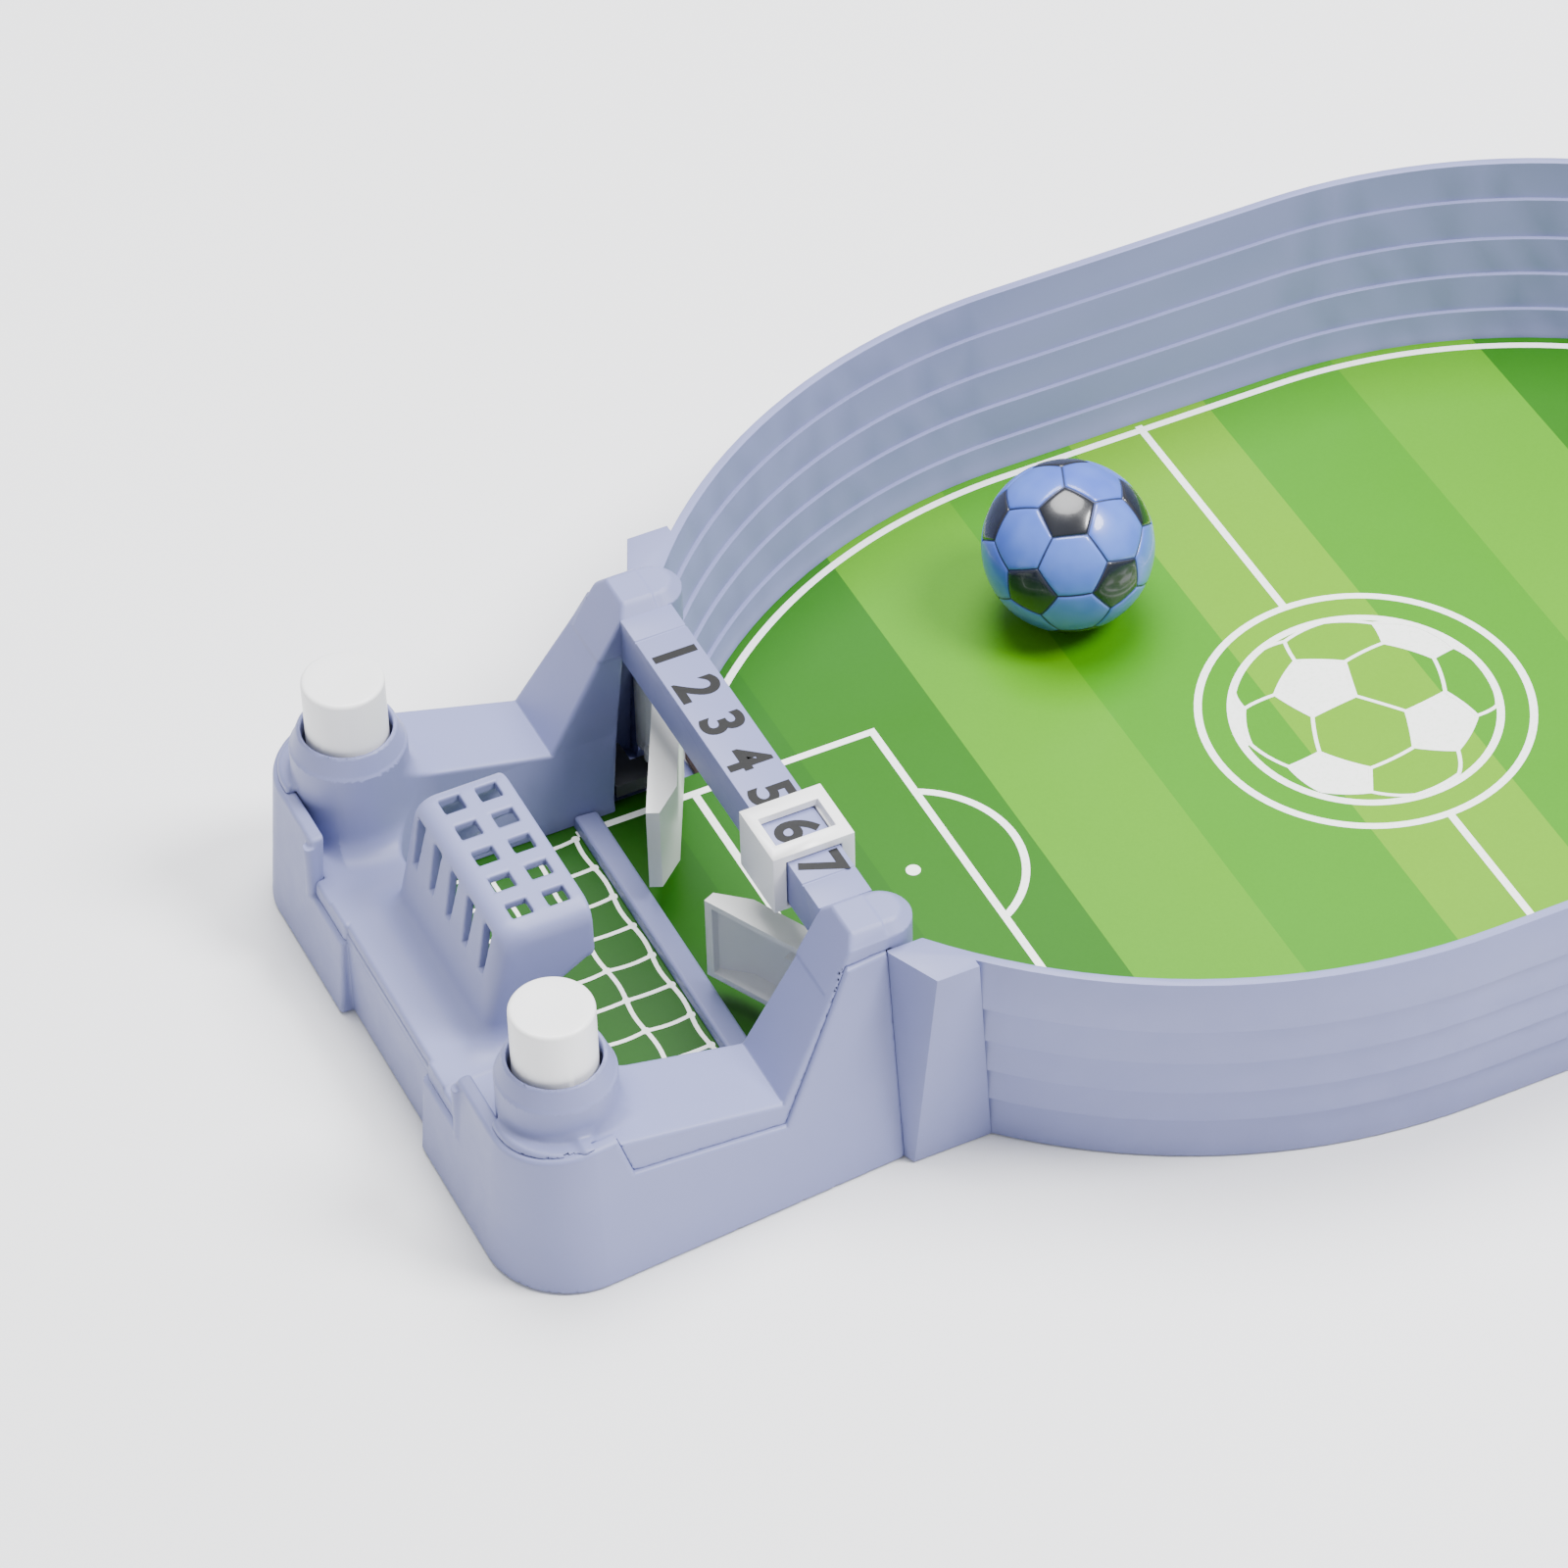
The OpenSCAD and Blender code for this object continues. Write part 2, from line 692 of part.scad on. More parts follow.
near_stand_wall();
far_stand_wall();
pitch_board();
pitch_sheet();
ball();
rubber_feet();
base_shell("left");  // left_base_shell
base_plate("left");  // left_base_plate
housing("left", "near");  // left_near_housing
housing("left", "far");  // left_far_housing
goal_cage("left");  // left_goal_cage
goal_sill("left");  // left_goal_sill
score_rail("left");  // left_score_rail
score_sleeve("left", left_score);  // left_score_sleeve
button("left", "near");  // left_near_button
button("left", "far");  // left_far_button
button_spring("left", "near");  // left_near_spring
button_spring("left", "far");  // left_far_spring
push_link("left", "near");  // left_near_link
push_link("left", "far");  // left_far_link
flipper("left", "near");  // left_near_flipper
flipper("left", "far");  // left_far_flipper
flipper_pins("left");  // left_flipper_pins
screws("left");  // left_screws
base_shell("right");  // right_base_shell
base_plate("right");  // right_base_plate
housing("right", "near");  // right_near_housing
housing("right", "far");  // right_far_housing
goal_cage("right");  // right_goal_cage
goal_sill("right");  // right_goal_sill
score_rail("right");  // right_score_rail
score_sleeve("right", right_score);  // right_score_sleeve
button("right", "near");  // right_near_button
button("right", "far");  // right_far_button
button_spring("right", "near");  // right_near_spring
button_spring("right", "far");  // right_far_spring
push_link("right", "near");  // right_near_link
push_link("right", "far");  // right_far_link
flipper("right", "near");  // right_near_flipper
flipper("right", "far");  // right_far_flipper
flipper_pins("right");  // right_flipper_pins
screws("right");  // right_screws
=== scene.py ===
"""Looks of a tabletop football game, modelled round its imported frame. Lengths here are millimetres."""
import math

import bmesh
import bpy
import numpy as np
from numpy import maximum, minimum
from mathutils import Matrix, Vector


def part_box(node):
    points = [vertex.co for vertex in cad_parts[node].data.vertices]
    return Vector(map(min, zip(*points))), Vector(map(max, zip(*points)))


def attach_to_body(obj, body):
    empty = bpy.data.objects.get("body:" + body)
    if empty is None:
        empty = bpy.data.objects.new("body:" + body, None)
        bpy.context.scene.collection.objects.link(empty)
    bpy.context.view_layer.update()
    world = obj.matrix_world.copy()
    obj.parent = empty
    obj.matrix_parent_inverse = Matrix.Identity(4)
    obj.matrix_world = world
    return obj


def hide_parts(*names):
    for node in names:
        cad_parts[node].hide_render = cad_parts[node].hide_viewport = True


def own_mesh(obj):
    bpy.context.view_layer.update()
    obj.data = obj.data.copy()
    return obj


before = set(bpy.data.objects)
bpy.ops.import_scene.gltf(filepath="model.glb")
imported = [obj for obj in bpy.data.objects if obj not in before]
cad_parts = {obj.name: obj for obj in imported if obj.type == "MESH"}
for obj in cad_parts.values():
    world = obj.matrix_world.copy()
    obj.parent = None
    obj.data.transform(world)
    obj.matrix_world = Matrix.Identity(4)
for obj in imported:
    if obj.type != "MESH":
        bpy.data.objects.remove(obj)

MM = 0.001
ENDS = ("left", "right")
SIDES = ("near", "far")
CORNERS = [(end, side) for end in ENDS for side in SIDES]
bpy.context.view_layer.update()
link = bpy.context.scene.collection.objects.link


def span(node):
    """Lowest and highest corner of a CAD node."""
    return [[value / MM for value in corner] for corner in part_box(node)]


def middle(node, axis):
    low, high = span(node)
    return (low[axis] + high[axis]) / 2


# ---- sizes of the left module, read from the frame ----

(END_X, _, FOOT_Z), (NECK_X, SKIRT_HALF, CAP_SKIRT_Z) = span("left_base_shell")
TOWER_TOP = span("left_far_housing")[1][2]
CAGE_TOP = span("left_goal_cage")[1][2]
CAGE_FRONT_X = span("left_goal_cage")[1][0]
BAND_Y = span("left_goal_cage")[1][1]
PITCH_Z = span("pitch_sheet")[1][2]
RAIL_LOW, RAIL_HIGH = span("left_score_rail")
RAIL_X = middle("left_score_rail", 0)
BOSS_X, BOSS_Y = (middle("left_far_spring", axis) for axis in (0, 1))
PIN_RADIUS = 1.5
PIVOT_X = middle("left_flipper_pins", 0)
PIVOT_Y = span("left_flipper_pins")[1][1] - PIN_RADIUS

# ---- sizes of the mouldings ----

CORNER_RADIUS = BOSS_X - END_X
CORNER_Y = SKIRT_HALF - CORNER_RADIUS
CORNER_DRAFT = 4
NECK_HALF = SKIRT_HALF - 4.5
NECK_DRAFT = 6.4
FOOT_RIM_Z = 0.5
LIP_Z = TOWER_TOP - 2.3
COVER_INSET = 0.9
WALL = 2
SHELL_INSET = COVER_INSET + WALL
FAR_DOWN = -40    # below anything, so that a cut-off end doesn't round an outline
FAR_OUT = 120
EDGE = 0.9        # how wide an outer edge is rounded
CUT_EDGE = 0.5    # and the edge of an opening

FOOT_X = -158.5
CAP_X = -140.6
PLATFORM_BACK_Z = 34.2
PLATFORM_FOOT_Z = 24.5
LEDGE_Z = 34.1
DECK_Z = 22
MID_DECK_Z = 22.8
BACK_WALL_X = -201
SIDE_DECK_X = -194.5
CENTRE_WALL_X = END_X + 2.8
CENTRE_WALL_TOP = MID_DECK_Z - 1.8
CHANNEL_Y = 41.2
CHANNEL_TOP_Y = 43.3
CAP_Y = 44
CAP_RADIUS = 6.2
CAP_FLAT = 3.8
CAP_UNDER_Z = 44
TONGUE_LENGTH = 5
BUSH_RADIUS = 4.2
BUSH_FOOT_Z = 32.6
PIN_HOLE_RADIUS = 1.55
PIN_HOLE_TOP = 43

# mouth that the flipper swings out of
MOUTH_X = -146.4
MOUTH_TOP_X = -142
MOUTH_SIDE = 3

BOSS_RADIUS = 11.5
BORE_RADIUS = 8.9
COLLAR_RADIUS = 9.8
COLLAR_TOP_RADIUS = 9.3
BOSS_SHOULDER_Z = 41.7
BOSS_TOP_Z = 45.4
FLANGE_Z = 31.5
FLANGE_ROOM = 1.1
# the fillet round a boss: its width at the skirt, what it gains inwards, and where it does
BOSS_FILLET = 1.2
BOSS_FILLET_GAIN = 4.3
FADE_FROM = 3
FADE_WIDTH = 4

HOOD_HALF = 21.7
HOOD_WALL = 1.9
HOOD_BEND = (-197.9, 36.7)
# directions, in x and z, that the back of the hood faces above and below its bend
HOOD_UPPER = (-0.989, 0.146)
HOOD_LOWER = (-0.968, 0.251)
HOOD_TAPER = 0.02
HOOD_TAPER_Z = 35
HOOD_SOFT = 4
# side view of the room under the hood
ROOM_TOP_Z = 36.2
ROOM_SLOPE = (-188, 31)
ROOM_BACK_X = -196.5
ROOM_FRONT_X = -150
HOLE_X = (-190.3, -182.8)
HOLE_PITCH = 7.74
HOLE_SIZE = (4.3, 4.0)
HOLE_DEPTH = 6
HOLES_ASIDE = 2
SLOT_FRONT_X = -193
SLOT_HALF = 0.9
SLOT_TAPER = 0.085
SLOT_END = 2.6

RECESS_Y = 19.3
NOTCH_Y = 34.6
BAND_Z = 23.6
NOTCH_Z = 18.8
BACK_DEPTH = 5
SKIRT_TOP_Z = 34.3
SKIRT_STEP_X = (-193.1, -190.3)
SKIRT_STEP_Z = 24.9
SKIRT_FOOT_Z = 19.9
SKIRT_CAP_X = -143.2
RIB_FROM_END = 2.2
RIB_FROM_NOTCH = 0.9
RIB_RADIUS = 1.15
RIB_BELOW_TOP = 3.6
RIM_INSET = 0.6
RIM_STOP_X = -172
RIM_START = 3

# plan of the bowl, and the tiers on the outside of a stand wall
BOWL_RADIUS = 120.5
BOWL_STRAIGHT = 32.4
BOWL_CENTRE_Y = -20.4
TIER_HEIGHTS = (11, 19.5, 28.3, 37.6)
TIER_STEP = 0.9
TIER_TAPER = 0.6
TIER_NEAR_Z = 0.1
TIER_NEAR_OUT = 0.3

# ---- distance fields ----

SLIDES = 5
LEAST_SLOPE = 0.2


def outline(u, v, points):
    """Signed distance to a closed outline, negative inside."""
    nearest = np.full(np.broadcast(u, v).shape, np.inf)
    inside = np.zeros(nearest.shape, bool)
    for (u0, v0), (u1, v1) in zip(points, points[1:] + points[:1]):
        eu, ev = u1 - u0, v1 - v0
        along = np.clip(((u - u0) * eu + (v - v0) * ev) / (eu * eu + ev * ev), 0, 1)
        nearest = minimum(nearest, (u - u0 - along * eu) ** 2 + (v - v0 - along * ev) ** 2)
        if ev:
            crosses = (v0 > v) != (v1 > v)
            inside ^= crosses & (u < u0 + (v - v0) * eu / ev)
    return np.where(inside, -1, 1) * np.sqrt(nearest)


def join(a, b, soft):
    """Union with a fillet about as wide as soft."""
    near = maximum(soft - np.abs(a - b), 0) / soft
    return minimum(a, b) - near * near * soft / 4


def common(a, b, soft=0.0):
    """Intersection with a rounded edge about as wide as soft."""
    if soft == 0:
        return maximum(a, b)
    return -join(-a, -b, soft)


def block(u, v, w, centre, half):
    """A box given by its centre and half sizes."""
    parts = [np.abs(p - c) - h for p, c, h in zip((u, v, w), centre, half)]
    return maximum(maximum(parts[0], parts[1]), parts[2])


def body_field(x, y, z, inset):
    """The drafted outer form of a module, its faces moved in by inset."""
    rise = (z - FOOT_RIM_Z) / (LIP_Z - FOOT_RIM_Z)
    radius = CORNER_RADIUS - CORNER_DRAFT * rise - inset
    neck = NECK_HALF - NECK_DRAFT * rise - inset
    slope = (neck - CORNER_Y - radius) / (NECK_X - BOSS_X)
    over_x = BOSS_X - x
    over_y = y - CORNER_Y - slope * maximum(x - BOSS_X, 0)
    corner = np.hypot(maximum(over_x, 0), maximum(over_y, 0))
    return corner + minimum(maximum(over_x, over_y), 0) - radius


def skirt_profile(x, z):
    return outline(x, z, [
        (END_X - 1, FAR_DOWN), (END_X - 1, SKIRT_TOP_Z - 2.5), (BOSS_X, SKIRT_TOP_Z),
        (SKIRT_STEP_X[0], SKIRT_TOP_Z), (SKIRT_STEP_X[1], SKIRT_STEP_Z), (FOOT_X, SKIRT_FOOT_Z),
        (SKIRT_CAP_X, CAP_SKIRT_Z), (NECK_X + 1, CAP_SKIRT_Z), (NECK_X + 1, FAR_DOWN)])


def tower_field(x, y, z):
    """Platform and tower of one side, as a solid."""
    side_view = outline(x, z, [
        (BOSS_X - 1, FAR_DOWN), (BOSS_X - 1, PLATFORM_BACK_Z), (FOOT_X, PLATFORM_FOOT_Z),
        (CAP_X, TOWER_TOP), (NECK_X + 20, TOWER_TOP), (NECK_X + 20, FAR_DOWN)])
    end_view = outline(y, z, [
        (CHANNEL_Y, FAR_DOWN), (CHANNEL_Y, PITCH_Z), (CHANNEL_TOP_Y, PLATFORM_FOOT_Z),
        (CAP_Y, RAIL_LOW[2]), (CAP_Y, LIP_Z), (PIVOT_Y - CAP_FLAT, TOWER_TOP + 0.1),
        (PIVOT_Y + CAP_FLAT, TOWER_TOP + 0.1), (PIVOT_Y + CAP_RADIUS, LIP_Z), (FAR_OUT, LIP_Z),
        (FAR_OUT, FAR_DOWN)])
    return common(common(side_view, end_view, EDGE), body_field(x, y, z, COVER_INSET), EDGE)


def cap_field(x, y, z):
    """The cap with its round tongue towards the pitch."""
    beside = np.hypot(x - np.clip(x, CAP_X - TONGUE_LENGTH, PIVOT_X), y - PIVOT_Y)
    section = outline(beside, z, [
        (-5, CAP_UNDER_Z), (CAP_RADIUS, CAP_UNDER_Z), (CAP_RADIUS, LIP_Z), (CAP_FLAT, TOWER_TOP),
        (-5, TOWER_TOP)])
    slope = outline(x, z, [
        (FOOT_X, FAR_DOWN), (FOOT_X, PLATFORM_FOOT_Z), (CAP_X, TOWER_TOP), (0, TOWER_TOP),
        (0, FAR_DOWN)])
    return common(section, slope, 0.6)


def boss_field(x, y, z):
    """The round boss of a button, with a narrower collar on top."""
    return outline(np.hypot(x - BOSS_X, y - BOSS_Y), z, [
        (-5, FAR_DOWN), (BOSS_RADIUS, FAR_DOWN), (BOSS_RADIUS, BOSS_SHOULDER_Z - 0.8),
        (BOSS_RADIUS - 0.5, BOSS_SHOULDER_Z), (COLLAR_RADIUS, BOSS_TOP_Z - 0.4),
        (COLLAR_TOP_RADIUS, BOSS_TOP_Z), (-5, BOSS_TOP_Z)])


def hood_field(x, y, z):
    """Shell of the goal hood, open to the front."""
    bend_x, bend_z = HOOD_BEND
    upper = HOOD_UPPER[0] * (x - bend_x) + HOOD_UPPER[1] * (z - bend_z)
    lower = HOOD_LOWER[0] * (x - bend_x) + HOOD_LOWER[1] * (z - bend_z)
    back = join(upper, lower, HOOD_SOFT)
    aside = y - HOOD_HALF + HOOD_TAPER * (z - HOOD_TAPER_Z)
    solid = common(common(back, z - CAGE_TOP, HOOD_SOFT), aside, HOOD_SOFT + 0.5)
    shell = common(solid, -(solid + HOOD_WALL), CUT_EDGE)
    shell = common(shell, x - CAGE_FRONT_X, 1)
    below = outline(x, z, [
        (ROOM_FRONT_X, FAR_DOWN), (ROOM_FRONT_X, ROOM_TOP_Z), (CAGE_FRONT_X - 1.5, ROOM_TOP_Z),
        ROOM_SLOPE, (ROOM_BACK_X, MID_DECK_Z - 1), (ROOM_BACK_X, FAR_DOWN)])
    shell = common(shell, -below, 2.4)
    return common(shell, MID_DECK_Z - WALL - z)


def hole_field(x, y, z):
    """Square holes in the top of the hood and tapered slots in its back."""
    in_row = y - HOLE_PITCH * np.clip(np.round(y / HOLE_PITCH), -HOLES_ASIDE, HOLES_ASIDE)
    half = (HOLE_SIZE[0] / 2, HOLE_SIZE[1] / 2, HOLE_DEPTH)
    top = [block(x, in_row, z, (hole_x, 0, CAGE_TOP), half) for hole_x in HOLE_X]
    slot_half = SLOT_HALF + SLOT_TAPER * (z - HOOD_BEND[1])
    ends = maximum(HOOD_BEND[1] - z, z - CAGE_TOP + SLOT_END)
    slot = maximum(np.abs(in_row) - slot_half, ends)
    slot = maximum(slot, x - SLOT_FRONT_X)
    return minimum(minimum(top[0], top[1]), slot)


def back_cuts(x, y, z):
    """Where the top of the skirt is lowered along the back."""
    steps = [maximum(y - RECESS_Y, CENTRE_WALL_TOP - z), maximum(y - BAND_Y, BAND_Z - z),
             maximum(y - NOTCH_Y, NOTCH_Z - z)]
    return maximum(minimum(minimum(steps[0], steps[1]), steps[2]), x - BOSS_X + BACK_DEPTH)


def cover_field(x, y, z):
    """The upper moulding of the left module: towers, platforms, bosses, deck and goal hood."""
    y = np.abs(y)
    body = body_field(x, y, z, COVER_INSET)
    deck_top = np.where(y < BAND_Y, MID_DECK_Z, DECK_Z)
    beside_hood = maximum(x - SIDE_DECK_X, HOOD_HALF - HOOD_WALL - y)
    deck = common(common(minimum(x - BACK_WALL_X, beside_hood), z - deck_top, 1.2), body, 0.8)
    ledge = common(maximum(x - BOSS_X - 1, BOSS_Y - y), z - LEDGE_Z, 1)
    ledge = common(ledge, body, EDGE)
    solid = join(join(tower_field(x, y, z), ledge, 2.5), deck, 3)
    # the fillet round a boss fades out towards the skirt
    inward = np.clip((-body - FADE_FROM) / FADE_WIDTH, 0, 1)
    solid = join(solid, boss_field(x, y, z), BOSS_FILLET + BOSS_FILLET_GAIN * inward)
    shell = maximum(solid, -(solid + WALL))
    shell = maximum(shell, x - NECK_X)
    shell = join(shell, hood_field(x, y, z), 5)
    shell = common(shell, -hole_field(x, y, z), CUT_EDGE)
    shell = join(shell, cap_field(x, y, z), 0.7)
    # bush round the upper end of the flipper pin
    pin = np.hypot(x - PIVOT_X, y - PIVOT_Y)
    bush = maximum(pin - BUSH_RADIUS, maximum(BUSH_FOOT_Z - z, z - LIP_Z))
    shell = minimum(shell, bush)
    # rim round the skirt, and the bore for the button
    beside_skirt = maximum(skirt_profile(x, z), -body_field(x, y, z, SHELL_INSET))
    beside_skirt = maximum(beside_skirt, -back_cuts(x, y, z))
    shell = common(shell, -beside_skirt, 0.3)
    shell = common(shell, -maximum(x - CENTRE_WALL_X, y - RECESS_Y), 1.5)
    from_boss = np.hypot(x - BOSS_X, y - BOSS_Y)
    shell = common(shell, BORE_RADIUS - from_boss, CUT_EDGE)
    flange_room = maximum(from_boss - BORE_RADIUS - FLANGE_ROOM, z - FLANGE_Z)
    shell = maximum(shell, -flange_room)
    mouth = outline(x, z, [
        (MOUTH_X, PITCH_Z - 1), (MOUTH_X, PITCH_Z + MOUTH_SIDE), (MOUTH_TOP_X, RAIL_LOW[2]),
        (NECK_X + 1, RAIL_LOW[2]), (NECK_X + 1, PITCH_Z - 1)])
    mouth = maximum(mouth, y - PIVOT_Y - 1)
    shell = common(shell, -mouth, 0.6)
    shell = maximum(shell, -maximum(pin - PIN_HOLE_RADIUS, z - PIN_HOLE_TOP))
    return maximum(shell, PITCH_Z - z)


def skirt_field(x, y, z):
    """The lower moulding of the left module, proud of the cover all round."""
    y = np.abs(y)
    outside = body_field(x, y, z, 0)
    ring = common(outside, -body_field(x, y, z, SHELL_INSET), 0.4)
    ring = common(common(ring, skirt_profile(x, z), EDGE), x - NECK_X, 0.3)
    low_centre = maximum(x - CENTRE_WALL_X, y - RECESS_Y)
    ring = common(ring, -minimum(back_cuts(x, y, z), low_centre), 1)
    wall = block(x, y, z, (CENTRE_WALL_X + WALL / 2, 0, CENTRE_WALL_TOP / 2),
                 (WALL / 2, RECESS_Y + WALL, CENTRE_WALL_TOP / 2))
    ring = join(ring, wall, 0.8)
    rib = np.hypot(x - END_X - RIB_FROM_END, y - NOTCH_Y - RIB_FROM_NOTCH) - RIB_RADIUS
    rib = maximum(rib, maximum(NOTCH_Z - 1 - z, z - SKIRT_TOP_Z + RIB_BELOW_TOP))
    return maximum(join(ring, rib, 0.8), FOOT_RIM_Z - z)


def rim_field(x, y, z):
    """The low rim that the skirt stands on at its corners."""
    y = np.abs(y)
    rim = maximum(body_field(x, y, z, RIM_INSET), -body_field(x, y, z, SHELL_INSET))
    rim = maximum(maximum(rim, x - RIM_STOP_X), RECESS_Y + RIM_START - y)
    return maximum(rim, maximum(FOOT_Z - z, z - FOOT_RIM_Z - 0.1))


def gradient(field, points, reach=0.02):
    """Slope of a field along each axis, and its value, at each point."""
    here = field(*points.T)
    slope = np.empty_like(points)
    for axis in range(3):
        moved = points.copy()
        moved[:, axis] += reach
        slope[:, axis] = (field(*moved.T) - here) / reach
    return slope, here


def skin(field, low, high, step):
    """Points, quads and normals of the surface where a field is zero."""
    axes = [np.arange(a - step, b + 2 * step, step) for a, b in zip(low, high)]
    value = field(axes[0][:, None, None], axes[1][None, :, None], axes[2][None, None, :])
    inside = value < 0
    cells = [n - 1 for n in inside.shape]
    corners = np.zeros(cells, int)
    for corner in np.ndindex(2, 2, 2):
        corners += inside[tuple(slice(c, c + n) for c, n in zip(corner, cells))]
    active = (corners > 0) & (corners < 8)
    ids = np.full(cells, -1)
    ids[active] = np.arange(active.sum())
    points = np.argwhere(active) * step + np.array([a[0] for a in axes]) + step / 2

    quads = []
    for axis in range(3):
        u, v = (axis + 1) % 3, (axis + 2) % 3
        ahead = np.take(inside, range(1, inside.shape[axis]), axis)
        here = np.take(inside, range(inside.shape[axis] - 1), axis)
        for outward, crossing in ((True, here & ~ahead), (False, ahead & ~here)):
            at = np.argwhere(crossing)
            at = at[(at[:, u] > 0) & (at[:, v] > 0) & (at[:, u] < cells[u]) & (at[:, v] < cells[v])]
            ring = []
            for du, dv in ((-1, -1), (0, -1), (0, 0), (-1, 0)):
                cell = at.copy()
                cell[:, u] += du
                cell[:, v] += dv
                ring.append(ids[tuple(cell.T)])
            quads.append(np.stack(ring if outward else ring[::-1], 1))
    quads = np.concatenate(quads)

    # the points slide along the slope until they lie on the surface
    for _ in range(SLIDES):
        slope, here = gradient(field, points)
        shift = slope * (here / maximum((slope ** 2).sum(1), LEAST_SLOPE))[:, None]
        points -= np.clip(shift, -step, step)
    normals = gradient(field, points)[0]
    normals /= maximum(np.linalg.norm(normals, axis=1), 1e-9)[:, None]
    return points, quads, normals


# ---- meshes ----

SAME_POINT = 0.002    # corners of a CAD mesh closer than this are one corner
SAME_PLANE = 0.5      # and its faces within this many degrees are one face


def turned(points, end):
    """The right module is the left one turned half round."""
    return np.asarray(points, float) * ((1, 1, 1) if end == "left" else (-1, -1, 1))


def flipped(points, end, side):
    """From the far side of the left module to another corner; True when the faces turn inside out."""
    points = np.asarray(points, float) * (1, -1 if side == "near" else 1, 1)
    if end == "right":
        points = points * (-1, 1, 1)
    return points, (side == "near") != (end == "right")


def piece(name, points, faces, material, body="game", slot=None, replaces=(), smooth=True):
    """A mesh piece from points in millimetres, riding on a CAD body."""
    mesh = bpy.data.meshes.new(name)
    corners = (np.asarray(points, float) * MM).tolist()
    mesh.from_pydata(corners, [], [list(map(int, face)) for face in faces])
    mesh.validate()
    mesh.polygons.foreach_set("use_smooth", [smooth] * len(mesh.polygons))
    obj = bpy.data.objects.new(name, mesh)
    link(obj)
    mesh.materials.append(material)
    return attach(obj, body, replaces)


def attach(obj, body, replaces=()):
    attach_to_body(obj, body)
    if replaces:
        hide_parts(*replaces)
    return obj


def bevel(obj, width, segments=2, angle=30):
    edge = obj.modifiers.new("edges", "BEVEL")
    edge.width = width * MM
    edge.segments = segments
    edge.limit_method = "ANGLE"
    edge.angle_limit = math.radians(angle)
    edge.harden_normals = True
    return obj


def softened(node, name, width, material, body="game", segments=2):
    """A copy of a CAD node with clean flat faces and its edges rounded."""
    mesh = bpy.data.meshes.new(name)
    work = bmesh.new()
    work.from_mesh(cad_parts[node].data)
    bmesh.ops.remove_doubles(work, verts=work.verts, dist=SAME_POINT * MM)
    bmesh.ops.dissolve_limit(work, angle_limit=math.radians(SAME_PLANE), verts=work.verts,
                             edges=work.edges)
    work.to_mesh(mesh)
    work.free()
    mesh.polygons.foreach_set("use_smooth", [True] * len(mesh.polygons))
    obj = bpy.data.objects.new(name, mesh)
    link(obj)
    mesh.materials.append(material)
    bevel(obj, width, segments)
    return attach(obj, body, (node,))


def lathe(profile, centre, sides=72):
    """A closed profile of (radius, z) turned round a vertical axis."""
    angles = [2 * math.pi * i / sides for i in range(sides)]
    points = [(centre[0] + r * math.cos(a), centre[1] + r * math.sin(a), z)
              for r, z in profile for a in angles]
    faces = []
    for i in range(len(profile)):
        row, after = i * sides, (i + 1) % len(profile) * sides
        for k in range(sides):
            beside = (k + 1) % sides
            faces.append((row + k, row + beside, after + beside, after + k))
    return points, faces


def box_mesh(low, high):
    points = [(x, y, z) for z in (low[2], high[2]) for y in (low[1], high[1])
              for x in (low[0], high[0])]
    faces = [(0, 2, 3, 1), (4, 5, 7, 6), (0, 1, 5, 4), (2, 6, 7, 3), (0, 4, 6, 2), (1, 3, 7, 5)]
    return points, faces


def merged(*parts):
    points, faces = [], []
    for part_points, part_faces in parts:
        base = len(points)
        points.extend(map(tuple, part_points))
        faces.extend(tuple(i + base for i in face) for face in part_faces)
    return points, faces


def arc(centre, radius, start, stop, count):
    """Points of an arc in a plane, angles in degrees."""
    angles = [math.radians(start + (stop - start) * i / (count - 1)) for i in range(count)]
    return [(centre[0] + radius * math.cos(a), centre[1] + radius * math.sin(a)) for a in angles]


def tube(path, radius, sides=10):
    """A round wire along a path, closed at both ends."""
    path = np.asarray(path, float)
    tangent = np.gradient(path, axis=0)
    tangent /= np.linalg.norm(tangent, axis=1)[:, None]
    across = np.cross(tangent, (0, 0, 1))
    across /= np.linalg.norm(across, axis=1)[:, None]
    above = np.cross(across, tangent)
    angles = [2 * math.pi * i / sides for i in range(sides)]
    points = [tuple(p + radius * (math.cos(a) * n + math.sin(a) * b))
              for p, n, b in zip(path, across, above) for a in angles]
    faces = []
    for i in range(len(path) - 1):
        row, after = i * sides, (i + 1) * sides
        for k in range(sides):
            beside = (k + 1) % sides
            faces.append((row + k, after + k, after + beside, row + beside))
    faces.append(tuple(range(sides)))
    faces.append(tuple((len(path) - 1) * sides + k for k in reversed(range(sides))))
    return points, faces


# ---- materials ----


def srgb(red, green, blue):
    """Linear colour from the usual 0 to 255 values."""
    linear = [((c / 255 + 0.055) / 1.055) ** 2.4 if c > 10 else c / 255 / 12.92
              for c in (red, green, blue)]
    return (*linear, 1)


